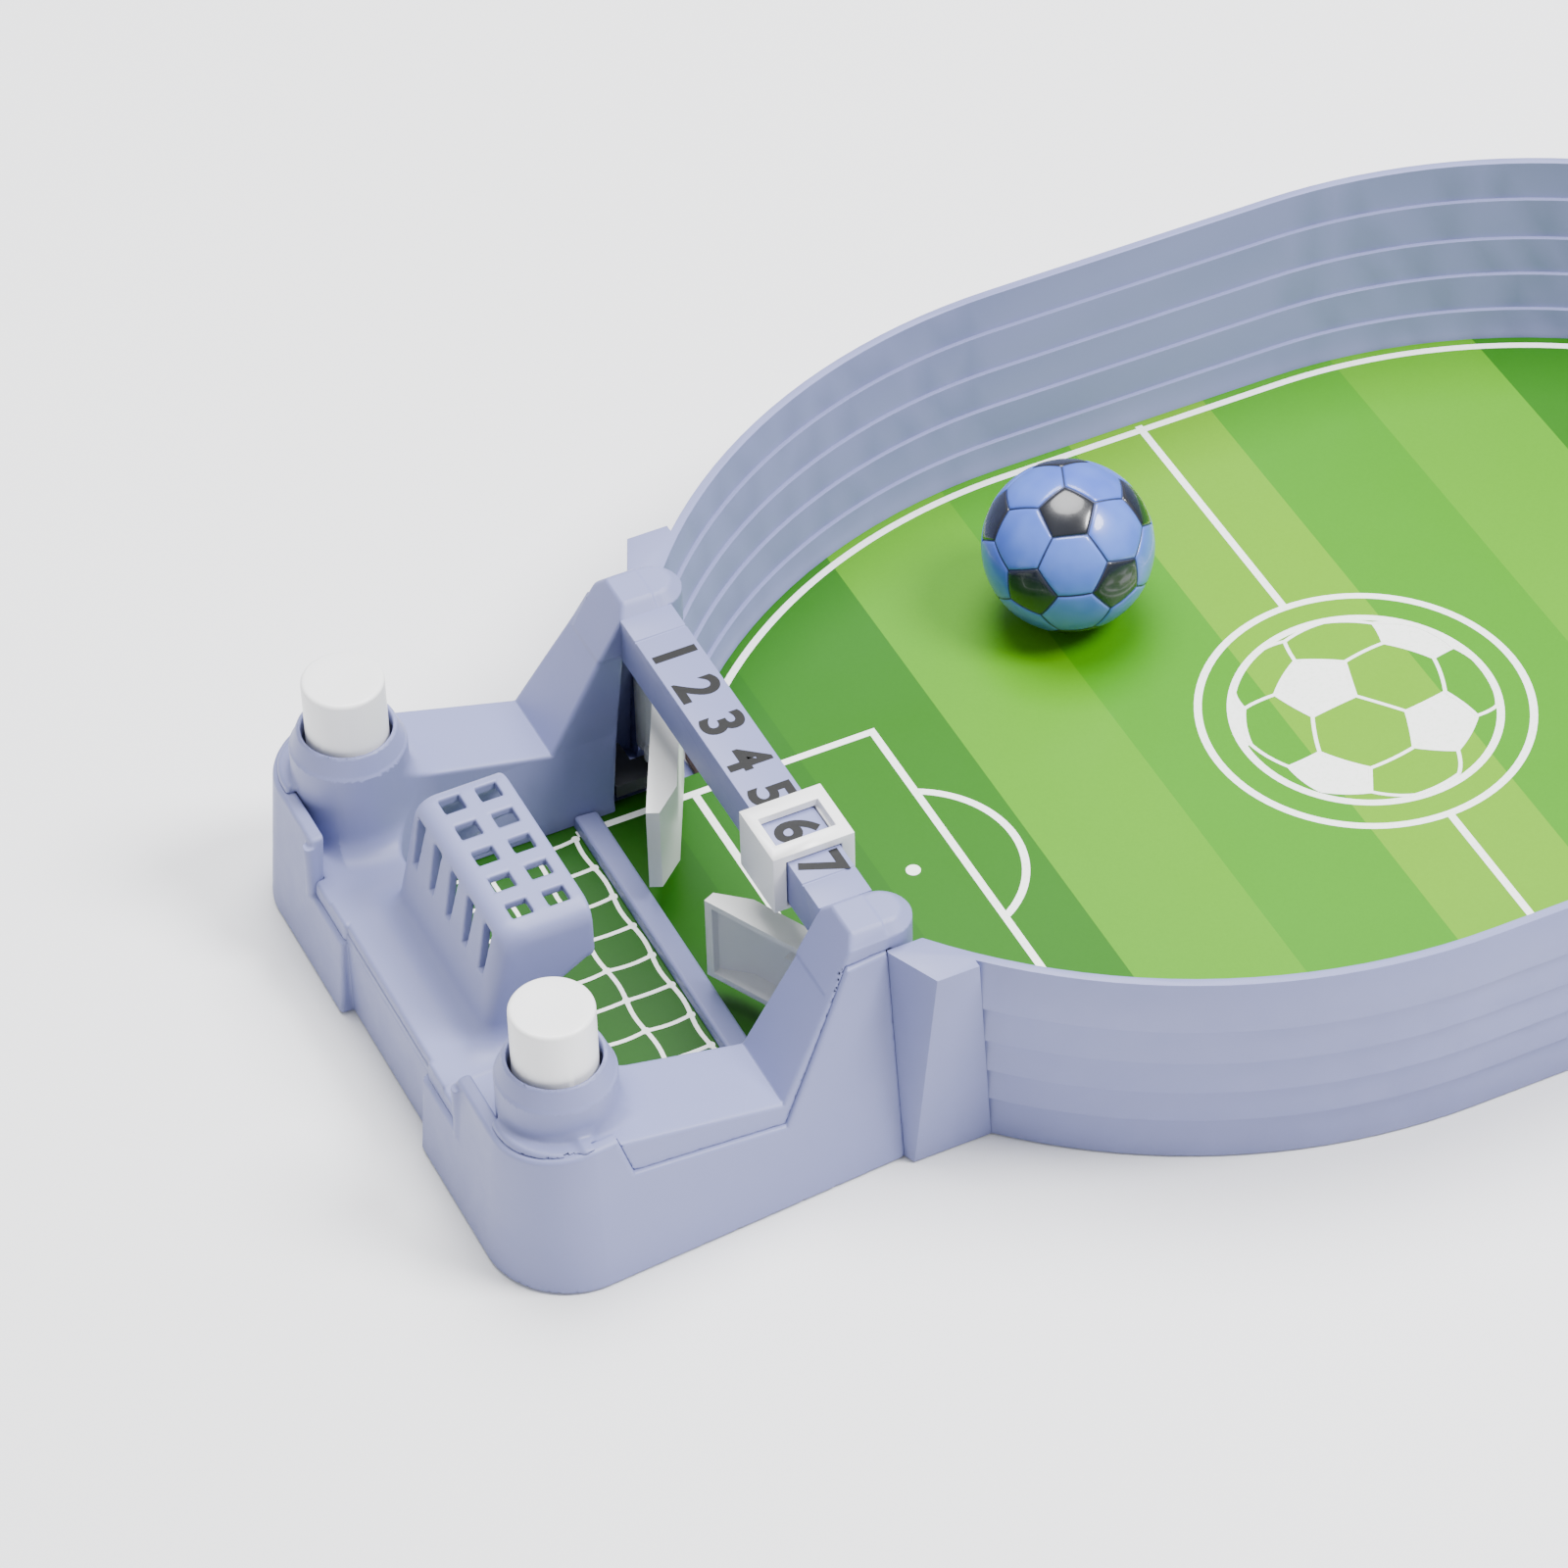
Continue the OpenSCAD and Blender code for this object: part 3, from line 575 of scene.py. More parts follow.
class Shader:
    """A Principled material with short ways to add the nodes that feed it."""

    def __init__(self, name, **values):
        self.material = bpy.data.materials.new(name)
        self.material.use_nodes = True
        self.tree = self.material.node_tree
        self.surface = self.tree.nodes["Principled BSDF"]
        for socket, value in values.items():
            self.surface.inputs[socket.replace("_", " ")].default_value = value
        self.place = self.add("ShaderNodeTexCoord").outputs["Object"]

    def add(self, kind, settings=None, **inputs):
        """A node with its inputs set or linked, each by name or as i and its number."""
        node = self.tree.nodes.new(kind)
        for key, value in (settings or {}).items():
            setattr(node, key, value)
        for key, value in inputs.items():
            numbered = key[0] == "i" and key[1:].isdigit()
            socket = node.inputs[int(key[1:]) if numbered else key]
            if isinstance(value, bpy.types.NodeSocket):
                self.tree.links.new(value, socket)
            else:
                socket.default_value = value
        return node

    def math(self, operation, first, second=0.0):
        node = self.add("ShaderNodeMath", {"operation": operation}, i0=first, i1=second)
        return node.outputs[0]

    def noise(self, scale, detail=2.0, roughness=0.5, place=None):
        node = self.add("ShaderNodeTexNoise", None, Vector=place or self.place, Scale=scale,
                        Detail=detail, Roughness=roughness)
        return node.outputs["Fac"]

    def stretched(self, scale, detail, roughness):
        place = self.add("ShaderNodeMapping", None, Vector=self.place, Scale=scale).outputs[0]
        return self.noise(1.0, detail, roughness, place)

    def spread(self, value, low, high, from_low=0.0, from_high=1.0):
        node = self.add("ShaderNodeMapRange", None, i0=value, i1=from_low, i2=from_high, i3=low,
                        i4=high)
        return node.outputs[0]

    def ramp(self, value, stops, interpolation="LINEAR"):
        node = self.add("ShaderNodeValToRGB", None, Fac=value)
        ramp = node.color_ramp
        ramp.interpolation = interpolation
        while len(ramp.elements) < len(stops):
            ramp.elements.new(1)
        for element, (position, colour) in zip(ramp.elements, stops):
            element.position = position
            element.color = colour
        return node.outputs["Color"]

    def mix(self, factor, first, second, blend="MIX"):
        node = self.add("ShaderNodeMix", {"data_type": "RGBA", "blend_type": blend})
        for index, value in ((0, factor), (6, first), (7, second)):
            socket = node.inputs[index]
            if isinstance(value, bpy.types.NodeSocket):
                self.tree.links.new(value, socket)
            else:
                socket.default_value = value
        return node.outputs[2]

    def colour(self, value):
        self.tree.links.new(value, self.surface.inputs["Base Color"])

    def roughness(self, value):
        self.tree.links.new(value, self.surface.inputs["Roughness"])

    def bump(self, height, strength, distance):
        node = self.add("ShaderNodeBump", None, Height=height, Strength=strength, Distance=distance * MM)
        self.tree.links.new(node.outputs["Normal"], self.surface.inputs["Normal"])


def moulded_plastic(name, colour, pale, rough, coat=0.0):
    """Moulded plastic with faint paler flow marks and a fine grain."""
    shade = Shader(name, Coat_Weight=coat, Coat_Roughness=0.2, Specular_IOR_Level=0.45)
    mottle = shade.noise(28, 3)
    flow = shade.noise(140, 4, 0.6)
    shade.colour(shade.mix(shade.spread(mottle, 0.0, 0.12, 0.3, 0.7), colour, pale))
    shade.roughness(shade.spread(flow, rough - 0.05, rough + 0.07, 0.3, 0.7))
    shade.bump(shade.noise(2600, 2), 0.12, 0.05)
    return shade.material


def steel(name, rough=0.28):
    shade = Shader(name, Metallic=1.0)
    lines = shade.stretched((900, 900, 90), 3, 0.6)
    shade.colour(shade.ramp(lines, [(0.3, srgb(168, 170, 174)), (0.7, srgb(205, 207, 210))]))
    shade.roughness(shade.spread(lines, rough - 0.08, rough + 0.1, 0.3, 0.7))
    shade.bump(lines, 0.15, 0.02)
    return shade.material


def rubber(name):
    shade = Shader(name, Specular_IOR_Level=0.3)
    grain = shade.noise(1800, 3)
    shade.colour(shade.ramp(grain, [(0.3, srgb(22, 22, 24)), (0.7, srgb(38, 38, 40))]))
    shade.roughness(shade.spread(grain, 0.7, 0.9))
    shade.bump(grain, 0.4, 0.1)
    return shade.material


def fibreboard(name):
    shade = Shader(name, Specular_IOR_Level=0.2)
    fibre = shade.stretched((300, 700, 1800), 6, 0.7)
    shade.colour(shade.ramp(fibre, [
        (0.3, srgb(104, 84, 60)), (0.52, srgb(146, 122, 90)), (0.75, srgb(176, 152, 116))]))
    shade.roughness(shade.spread(fibre, 0.75, 0.95))
    shade.bump(fibre, 0.4, 0.15)
    return shade.material


# colours of the mowing stripes, from the middle of the pitch to the back of a goal: (|x|, colour)
STRIPES = (
    (0, (98, 156, 0)), (15.2, (62, 136, 0)), (45.7, (80, 148, 0)), (76.2, (38, 106, 0)),
    (106.7, (33, 98, 2)), (137, (30, 90, 3)), (156, (26, 86, 4)))
DUSK_REACH = (55, 125)    # from the middle, where the turf starts and stops to darken


def turf(name):
    """Printed turf: mowing stripes, darker towards the stands, under a clear film."""
    shade = Shader(name, Coat_Weight=0.08, Coat_Roughness=0.2, Specular_IOR_Level=0.25)
    half = -END_X * MM
    x, y, _ = shade.add("ShaderNodeSeparateXYZ", None, Vector=shade.place).outputs
    along = shade.math("DIVIDE", shade.math("ABSOLUTE", x), half)
    bands = [(at * MM / half, srgb(*colour)) for at, colour in STRIPES]
    stripes = shade.ramp(along, bands, "CONSTANT")
    squares = shade.math("ADD", shade.math("POWER", x, 2.0), shade.math("POWER", y, 2.0))
    dusk = shade.spread(shade.math("SQRT", squares), 0.0, 0.42, *(at * MM for at in DUSK_REACH))
    blades = shade.noise(1500, 4, 0.7)
    shade_colour = shade.mix(dusk, stripes, (0.62, 0.72, 0.55, 1), "MULTIPLY")
    grass = shade.ramp(blades, [(0.3, (0.93, 0.94, 0.92, 1)), (0.7, (1.0, 1.0, 1.0, 1))])
    shade.colour(shade.mix(1.0, shade_colour, grass, "MULTIPLY"))
    shade.roughness(shade.spread(shade.noise(60, 3), 0.34, 0.46))
    shade.bump(shade.noise(420, 3), 0.06, 0.1)
    return shade.material


def ink(name, colour, deep):
    shade = Shader(name, Specular_IOR_Level=0.4)
    cover = shade.noise(1300, 3, 0.6)
    shade.colour(shade.ramp(cover, [(0.25, deep), (0.5, colour)]))
    shade.roughness(shade.spread(cover, 0.35, 0.5))
    shade.bump(cover, 0.1, 0.02)
    return shade.material


def ball_panel(name, colour, light, rough):
    """Glossy pressed panel with a leather grain and faint paler clouds."""
    shade = Shader(name, Coat_Weight=0.5, Coat_Roughness=0.08)
    cells = shade.add("ShaderNodeTexVoronoi", {"feature": "DISTANCE_TO_EDGE"},
                      Vector=shade.place, Scale=1500)
    grain = cells.outputs[0]
    cloud = shade.noise(90, 2)
    shade.colour(shade.mix(shade.spread(cloud, 0.0, 0.8, 0.35, 0.65), colour, light))
    shade.roughness(shade.spread(shade.noise(300, 3), rough - 0.05, rough + 0.08))
    shade.bump(grain, 0.06, 0.04)
    return shade.material


LILAC = moulded_plastic("lilac_abs", srgb(124, 129, 172), srgb(150, 155, 196), 0.45)
WHITE = moulded_plastic("white_abs", srgb(240, 240, 241), srgb(250, 250, 251), 0.34, 0.15)
BONE = moulded_plastic("white_flipper_abs", srgb(226, 227, 226), srgb(244, 244, 244), 0.38,
                       0.1)
STEEL = steel("plain_steel")
RUBBER = rubber("black_rubber")
BOARD = fibreboard("fibreboard")
TURF = turf("printed_turf")
WHITE_INK = ink("white_ink", srgb(250, 252, 248), srgb(236, 242, 232))
BLACK_INK = ink("black_ink", srgb(5, 5, 7), srgb(14, 14, 17))
BALL_BLUE = ball_panel("ball_blue", srgb(62, 92, 190), srgb(88, 122, 214), 0.3)
BALL_BLACK = ball_panel("ball_black", srgb(14, 16, 24), srgb(28, 32, 44), 0.24)
# The push links are coloured dark grey as painted shade: the grey stands in for the shadow inside the
# opening that they sit in.
LINK_PAINTED_SHADE = moulded_plastic("link_dark_grey_painted_shade", srgb(64, 64, 68), srgb(84, 84, 88), 0.55)
BALL_SEAM = ink("ball_seam", srgb(44, 54, 92), srgb(36, 44, 78))

# ---- mouldings ----

MOULD_STEP = 0.5


def add_mouldings():
    """Cover and skirt of both modules."""
    low, high = (END_X, -SKIRT_HALF, PITCH_Z), (PIVOT_X + CAP_RADIUS, SKIRT_HALF, TOWER_TOP)
    cover = skin(cover_field, low, high, MOULD_STEP)
    foot = (END_X, -SKIRT_HALF, FOOT_Z)
    skirt = skin(skirt_field, foot, (NECK_X, SKIRT_HALF, CAP_SKIRT_Z), MOULD_STEP)
    rim = skin(rim_field, foot, (RIM_STOP_X + 2, SKIRT_HALF, 1), MOULD_STEP)
    for end in ENDS:
        housings = [f"{end}_{side}_housing" for side in SIDES]
        for label, parts, nodes in (("cover", (cover,), housings + [f"{end}_goal_cage"]),
                                    ("skirt", (skirt, rim), [f"{end}_base_shell"])):
            points, faces = merged(*[(turned(p, end), q) for p, q, _ in parts])
            obj = piece(f"{end}_{label}_moulding", points, faces, LILAC, "game", "lilac_plastic", nodes)
            normals = np.concatenate([turned(n, end) for _, _, n in parts])
            obj.data.normals_split_custom_set_from_vertices(normals.tolist())


def add_stands():
    """Stand walls, each tier drawn in towards its top so that the next one throws a shadow on it."""
    for side in SIDES:
        stand = softened(f"{side}_stand_wall", f"{side}_stand", 0.2, LILAC)
        for vertex in stand.data.vertices:
            x, y, z = (value / MM for value in vertex.co)
            out = np.array([max(abs(x) - BOWL_STRAIGHT, 0) * math.copysign(1, x),
                            y - math.copysign(BOWL_CENTRE_Y, -y)])
            offset = np.linalg.norm(out) - BOWL_RADIUS
            for tier, height in enumerate(TIER_HEIGHTS):
                on_tier = abs(offset - tier * TIER_STEP) < TIER_NEAR_OUT
                if on_tier and abs(z - height) < TIER_NEAR_Z:
                    inner = np.array([x, y]) - out / np.linalg.norm(out) * TIER_TAPER
                    vertex.co.xy = inner * MM


def add_softened():
    """Pieces whose CAD shape is right, with their edges rounded."""
    softened("rubber_feet", "feet", 0.3, RUBBER)
    for end in ENDS:
        softened(f"{end}_base_plate", f"{end}_bottom_plate", 0.25, LILAC)
        softened(f"{end}_score_rail", f"{end}_rail", 0.3, LILAC)
        softened(f"{end}_goal_sill", f"{end}_sill", 0.3, LILAC)
        sleeve = f"{end}_score_sleeve"
        softened(sleeve, f"{end}_score_marker", 0.45, WHITE, sleeve, 3)
        softened(f"{end}_flipper_pins", f"{end}_pins", 0.2, STEEL)
        for side in SIDES:
            at = f"{end}_{side}"
            flipper = f"{at}_flipper"
            softened(flipper, f"{at}_blade", 0.35, BONE, flipper)
            node = f"{at}_link"
            # dark grey here is painted shade of the opening that the link sits in
            softened(node, f"{at}_push_link", 0.15, LINK_PAINTED_SHADE, node)


# ---- buttons, springs and screws ----


BUTTON_RADIUS = 8.1
BUTTON_WALL = 1.6
BUTTON_WEB_Z = 34
CROWN_ROUND = 0.8
CROWN_STEPS = 6
BUTTON_FLANGE_RADIUS = 9.7
BUTTON_FLANGE_Z = 29.5
LEG_HALF = 2.6
LEG_TOP_Z = 31
CAM_RADIUS = 1.4
CAM_REACH = 10.6
ON_AXIS = 0.01    # a turned profile ends this close to its axis


def button_profile(top):
    """Half section of a button with its flange, as (radius, z)."""
    angles = [math.pi / 2 * i / CROWN_STEPS for i in range(CROWN_STEPS + 1)]
    crown = [(BUTTON_RADIUS - CROWN_ROUND + CROWN_ROUND * math.cos(a),
              top - CROWN_ROUND + CROWN_ROUND * math.sin(a)) for a in angles]
    inner = BUTTON_RADIUS - BUTTON_WALL
    return [(ON_AXIS, BUTTON_WEB_Z), (inner, BUTTON_WEB_Z), (inner, BUTTON_FLANGE_Z),
            (BUTTON_FLANGE_RADIUS, BUTTON_FLANGE_Z), (BUTTON_FLANGE_RADIUS, BUTTON_FLANGE_Z + 1.7),
            (BUTTON_RADIUS, BUTTON_FLANGE_Z + 1.9), *crown, (BUTTON_RADIUS - 3, top - 0.15),
            (ON_AXIS, top - 0.25)]


def add_buttons():
    """Buttons with a rounded crown and a faint rim, their inner leg and cam pin."""
    for end, side in CORNERS:
        node = f"{end}_{side}_button"
        low_z, top = (corner[2] for corner in span(node))
        cap_points, cap_faces = lathe(button_profile(top), (BOSS_X, BOSS_Y))
        # the flange has a flat beside the link
        flat_y = BOSS_Y + BUTTON_RADIUS + 0.1
        cap = [(x, min(y, flat_y), z) for x, y, z in cap_points], cap_faces
        leg = box_mesh((BOSS_X - LEG_HALF, BOSS_Y + BUTTON_RADIUS - 1.8, low_z),
                       (BOSS_X + LEG_HALF, BOSS_Y + BUTTON_RADIUS - 0.3, LEG_TOP_Z))
        cam_z = low_z + 2
        pin = tube([(BOSS_X, BOSS_Y + BUTTON_RADIUS - 0.8 + along, cam_z)
                    for along in (0, CAM_REACH - BUTTON_RADIUS + 0.8)], CAM_RADIUS, 24)
        points, faces = merged(cap, leg, pin)
        points, inside_out = flipped(points, end, side)
        if inside_out:
            faces = [face[::-1] for face in faces]
        obj = piece(f"{end}_{side}_button_cap", points, faces, WHITE, node, "white_plastic",
                    (node,))
        bevel(obj, 0.2, 2, 40)


def add_springs():
    """Coil springs under the buttons."""
    wire, turns, per_turn = 0.5, 9, 28
    for end, side in CORNERS:
        node = f"{end}_{side}_spring"
        low, high = span(node)
        centre = [(a + b) / 2 for a, b in zip(low, high)]
        radius = (high[0] - low[0]) / 2 - wire
        path = []
        for i in range(turns * per_turn + 1):
            share = i / (turns * per_turn)
            # the end turns lie closer than the others
            height = share + 0.05 * math.sin(2 * math.pi * share)
            angle = 2 * math.pi * turns * share
            path.append((centre[0] + radius * math.cos(angle),
                         centre[1] + radius * math.sin(angle),
                         low[2] + wire + (high[2] - low[2] - 2 * wire) * height))
        coil = piece(f"{end}_{side}_coil_spring", *tube(path, wire), STEEL, "game", "steel",
                     (node,))
        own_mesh(coil)


SHANK_RADIUS = 1.2
CROSS_BAR = (1.1, 0.28)


def add_screws():
    """Domed screws with a raised cross where the recess is, under each module."""
    for end in ENDS:
        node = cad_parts[f"{end}_screws"]
        parts = []
        for island in islands(node.data):
            low, high = island.min(0), island.max(0)
            x, y = (low[0] + high[0]) / 2, (low[1] + high[1]) / 2
            head = (high[0] - low[0]) / 2
            z = low[2]
            profile = [(ON_AXIS, z + 0.25), (head * 0.55, z + 0.05), (head * 0.85, z + 0.15),
                       (head, z + 0.4), (head, z + 0.7), (SHANK_RADIUS, z + 0.7),
                       (SHANK_RADIUS, high[2]), (ON_AXIS, high[2])]
            parts.append(lathe(profile, (x, y), 36))
            for half_x, half_y in (CROSS_BAR, CROSS_BAR[::-1]):
                parts.append(box_mesh((x - half_x, y - half_y, z),
                                      (x + half_x, y + half_y, z + 0.3)))
        piece(f"{end}_plate_screws", *merged(*parts), STEEL, "game", "steel", (f"{end}_screws",))


def islands(mesh):
    """Vertex positions, in millimetres, of each separate solid of a CAD mesh."""
    work = bmesh.new()
    work.from_mesh(mesh)
    bmesh.ops.remove_doubles(work, verts=work.verts, dist=SAME_POINT * MM)
    found, seen = [], set()
    for start in work.verts:
        if start in seen:
            continue
        stack, group = [start], []
        seen.add(start)
        while stack:
            vertex = stack.pop()
            group.append(vertex.co / MM)
            for edge in vertex.link_edges:
                other = edge.other_vert(vertex)
                if other not in seen:
                    seen.add(other)
                    stack.append(other)
        found.append(np.array(group))
    work.free()
    return found


# ---- football panels ----


def icosahedron(first, second):
    """Twelve unit vectors: one corner along first, and a neighbour of it towards second."""
    golden = (1 + 5 ** 0.5) / 2
    corners = []
    for a in (-1, 1):
        for b in (-golden, golden):
            corners += [(0, a, b), (a, b, 0), (b, 0, a)]
    corners = np.array(corners, float) / math.hypot(1, golden)

    def axes(up, towards):
        up = up / np.linalg.norm(up)
        aside = towards - up * towards.dot(up)
        aside /= np.linalg.norm(aside)
        return np.array([up, aside, np.cross(up, aside)])

    start = corners[0]
    near = corners[np.argsort(-corners.dot(start))[1]]
    turn = axes(np.array(first, float), np.array(second, float)).T @ axes(start, near)
    return corners @ turn.T


def football_panels(corners):
    """Outlines of the 12 pentagons and 20 hexagons as rings of unit vectors, wound outwards."""
    edge = np.sort(corners.dot(corners[0]))[-2] - 0.01
    joined = corners.dot(corners.T) > edge
    np.fill_diagonal(joined, False)
    pentagons, hexagons = [], []
    for i, corner in enumerate(corners):
        around = [(2 * corner + corners[j]) / 3 for j in np.flatnonzero(joined[i])]
        pentagons.append(wound(around))
        for j in np.flatnonzero(joined[i]):
            for k in np.flatnonzero(joined[i] & joined[j]):
                if i < j < k:
                    pairs = [(i, j), (j, i), (j, k), (k, j), (k, i), (i, k)]
                    hexagons.append(wound([(2 * corners[a] + corners[b]) / 3 for a, b in pairs]))
    return pentagons, hexagons


def wound(points):
    """Points round a panel, sorted by angle about its outward normal."""
    points = np.array(points)
    centre = points.mean(0)
    normal = centre / np.linalg.norm(centre)
    aside = points[0] - centre
    other = np.cross(normal, aside)
    angles = np.arctan2((points - centre).dot(other), (points - centre).dot(aside))
    return points[np.argsort(angles)]


BALL_POLE = (-0.208, -0.373, 0.903)
BALL_NEXT = (0.165, -0.976, 0.112)


def add_ball():
    """A ball of pressed panels with sunk seams between them."""
    low, high = span("ball")
    radius = (high[2] - low[2]) / 2
    centre = np.array([(a + b) / 2 for a, b in zip(low, high)])
    # share of the way from a panel's middle to its edge, and how deep the surface lies there
    rings = [(0.2, 0), (0.4, 0), (0.6, 0), (0.78, 0), (0.88, 0.02), (0.93, 0.07), (0.965, 0.2),
             (1.0, 0.42)]
    per_edge = 10
    points, faces, slots = [], [], []
    for kind, panels in enumerate(football_panels(icosahedron(BALL_POLE, BALL_NEXT))):
        for panel in panels:
            middle_point = panel.mean(0)
            edge = [a + (b - a) * i / per_edge for a, b in zip(panel, np.roll(panel, -1, 0))
                    for i in range(per_edge)]
            base, count = len(points), len(edge)
            points.append(centre + radius * middle_point / np.linalg.norm(middle_point))
            for share, depth in rings:
                for rim in edge:
                    out = middle_point + share * (rim - middle_point)
                    points.append(centre + (radius - depth) * out / np.linalg.norm(out))
            for k in range(count):
                faces.append((base, base + 1 + k, base + 1 + (k + 1) % count))
                slots.append(kind)
            for ring in range(len(rings) - 1):
                for k in range(count):
                    a, b = base + 1 + ring * count + k, base + 1 + ring * count + (k + 1) % count
                    faces.append((a, a + count, b + count, b))
                    slots.append(2 if ring >= len(rings) - 2 else kind)
    obj = piece("football", points, faces, BALL_BLACK, "ball", "ball_vinyl", ("ball",))
    obj.data.materials.append(BALL_BLUE)
    obj.data.materials.append(BALL_SEAM)
    obj.data.polygons.foreach_set("material_index", slots)
    work = bmesh.new()
    work.from_mesh(obj.data)
    bmesh.ops.remove_doubles(work, verts=work.verts, dist=0.001 * MM)
    work.to_mesh(obj.data)
    work.free()


# ---- print on the pitch ----

INK_LOW = PITCH_Z - 0.05
INK_HIGH = PITCH_Z + 0.04
LAYER = 0.002


def slab(rim):
    """A thin flat piece of ink with the given outline, counter-clockwise."""
    count = len(rim)
    points = [(x, y, z) for z in (INK_LOW, INK_HIGH) for x, y in rim]
    faces = [tuple(reversed(range(count))), tuple(range(count, 2 * count))]
    faces += [(k, (k + 1) % count, count + (k + 1) % count, count + k) for k in range(count)]
    return points, faces


def stroke(path, width, closed=False):
    """A line of ink along a path in the plane of the pitch, as one closed band."""
    path = np.asarray(path, float)
    if closed:
        before, after = np.roll(path, 1, 0), np.roll(path, -1, 0)
    else:
        before = np.vstack([path[:1] * 2 - path[1:2], path[:-1]])
        after = np.vstack([path[1:], path[-1:] * 2 - path[-2:-1]])
    into, onto = path - before, after - path
    into /= np.linalg.norm(into, axis=1)[:, None]
    onto /= np.linalg.norm(onto, axis=1)[:, None]
    mitre = into + onto
    mitre /= maximum((mitre * into).sum(1), 0.3)[:, None]
    offset = np.stack([-mitre[:, 1], mitre[:, 0]], 1) * width / 2
    sides = [(path + offset), (path - offset)]
    count = len(path)
    points = [(x, y, z) for z in (INK_LOW, INK_HIGH) for side in sides for x, y in side]
    faces = []
    for k in range(count if closed else count - 1):
        n = (k + 1) % count
        faces += [(2 * count + k, 3 * count + k, 3 * count + n, 2 * count + n), (k, n, count + n, count + k),
                  (k, 2 * count + k, 2 * count + n, n), (count + k, count + n, 3 * count + n, 3 * count + k)]
    if not closed:
        faces += [(0, count, 3 * count, 2 * count),
                  (count - 1, 3 * count - 1, 4 * count - 1, 2 * count - 1)]
    return points, faces


def layered(parts):
    """Ink parts as one mesh, each a hair higher than the one before, so that no two tops coincide."""
    raised = []
    for index, (points, faces) in enumerate(parts):
        lift = LAYER * index
        raised.append(([(x, y, z + lift if z > PITCH_Z else z - lift) for x, y, z in points], faces))
    return merged(*raised)


def circle(radius, centre=(0, 0), count=96):
    return arc(centre, radius, 0, 360 - 360 / count, count)


LINE = 1.6
RING_RADIUS = 33.6
PRINT_RADIUS = 27.0
BOX_X = -91.1
BOX_Y = 38.9
GOAL_LINE_X = -130.4
SPOT_X = -101.3
ARC_RADIUS = 22.1
SPOT_RADIUS = 1.5
BOX_BACK_X = -156
TOUCH_INSET = 4.4
TOUCH_STOP_X = 112


def add_pitch_lines():
    """White lines of the pitch: touch line, halfway line, rings, boxes, arcs and spots."""
    parts = [stroke(circle(RING_RADIUS), LINE, True), stroke(circle(PRINT_RADIUS), LINE, True)]
    line_radius = BOWL_RADIUS - TOUCH_INSET
    for side in (1, -1):
        reach = math.degrees(math.acos((TOUCH_STOP_X - BOWL_STRAIGHT) / line_radius))
        right = arc((BOWL_STRAIGHT, BOWL_CENTRE_Y), line_radius, reach, 90, 40)
        left = [(-x, y) for x, y in reversed(right)]
        parts.append(stroke([(x, side * y) for x, y in right + left], LINE))
        top = BOWL_CENTRE_Y + line_radius
        parts.append(stroke([(0, side * (top + 1.4)), (0, side * RING_RADIUS)], LINE))
    half_turn = math.degrees(math.acos((BOX_X - SPOT_X) / ARC_RADIUS))
    for turn in (1, -1):
        box_path = [(BOX_BACK_X, BOX_Y), (BOX_X, BOX_Y), (BOX_X, -BOX_Y), (BOX_BACK_X, -BOX_Y)]
        bow = arc((SPOT_X, 0), ARC_RADIUS, -half_turn, half_turn, 32)
        goal_line = [(GOAL_LINE_X, BOX_Y), (GOAL_LINE_X, -BOX_Y)]
        spot = circle(SPOT_RADIUS, (SPOT_X, 0), 24)
        for path in (box_path, bow, goal_line):
            parts.append(stroke([(turn * x, turn * y) for x, y in path], LINE))
        parts.append(slab([(turn * x, turn * y) for x, y in spot]))
    piece("pitch_lines", *layered(parts), WHITE_INK, "game", "turf_print", smooth=False)


def add_centre_print():
    """A generic football drawn in the centre ring: white pentagons and thin seams."""
    pole, neighbour = (-0.217, 0.406, 0.888), (0.469, -0.451, 0.759)
    pentagons, hexagons = football_panels(icosahedron(pole, neighbour))
    parts = []

    def flat(direction):
        x, y, z = direction / np.linalg.norm(direction)
        if z < 0:
            x, y = np.array([x, y]) / math.hypot(x, y)
        return x * PRINT_RADIUS, y * PRINT_RADIUS

    def bowed(start, stop, steps=6):
        return [flat(start + (stop - start) * i / steps) for i in range(steps + 1)]

    for panel in pentagons:
        if panel.mean(0)[2] > 0.05:
            rim = [p for a, b in zip(panel, np.roll(panel, -1, 0)) for p in bowed(a, b)[:-1]]
            if abs(area(rim)) > 8:
                parts.append(slab(rim))
    seams = set()
    for panel in hexagons:
        for a, b in zip(panel, np.roll(panel, -1, 0)):
            key = tuple(sorted((tuple(np.round(a, 4)), tuple(np.round(b, 4)))))
            if key not in seams and min(a[2], b[2]) > 0.02:
                seams.add(key)
                parts.append(stroke(bowed(a, b), 0.8))
    piece("centre_print", *layered(parts), WHITE_INK, "game", "turf_print", smooth=False)


def area(rim):
    rim = np.array(rim)
    after = np.roll(rim, -1, 0)
    return (rim[:, 0] * after[:, 1] - after[:, 0] * rim[:, 1]).sum() / 2


NET_PITCH_X = 9.5
NET_PITCH_Y = 8.95
NET_FRONT_X = -156.8
NET_OFFSET_Y = 2.0


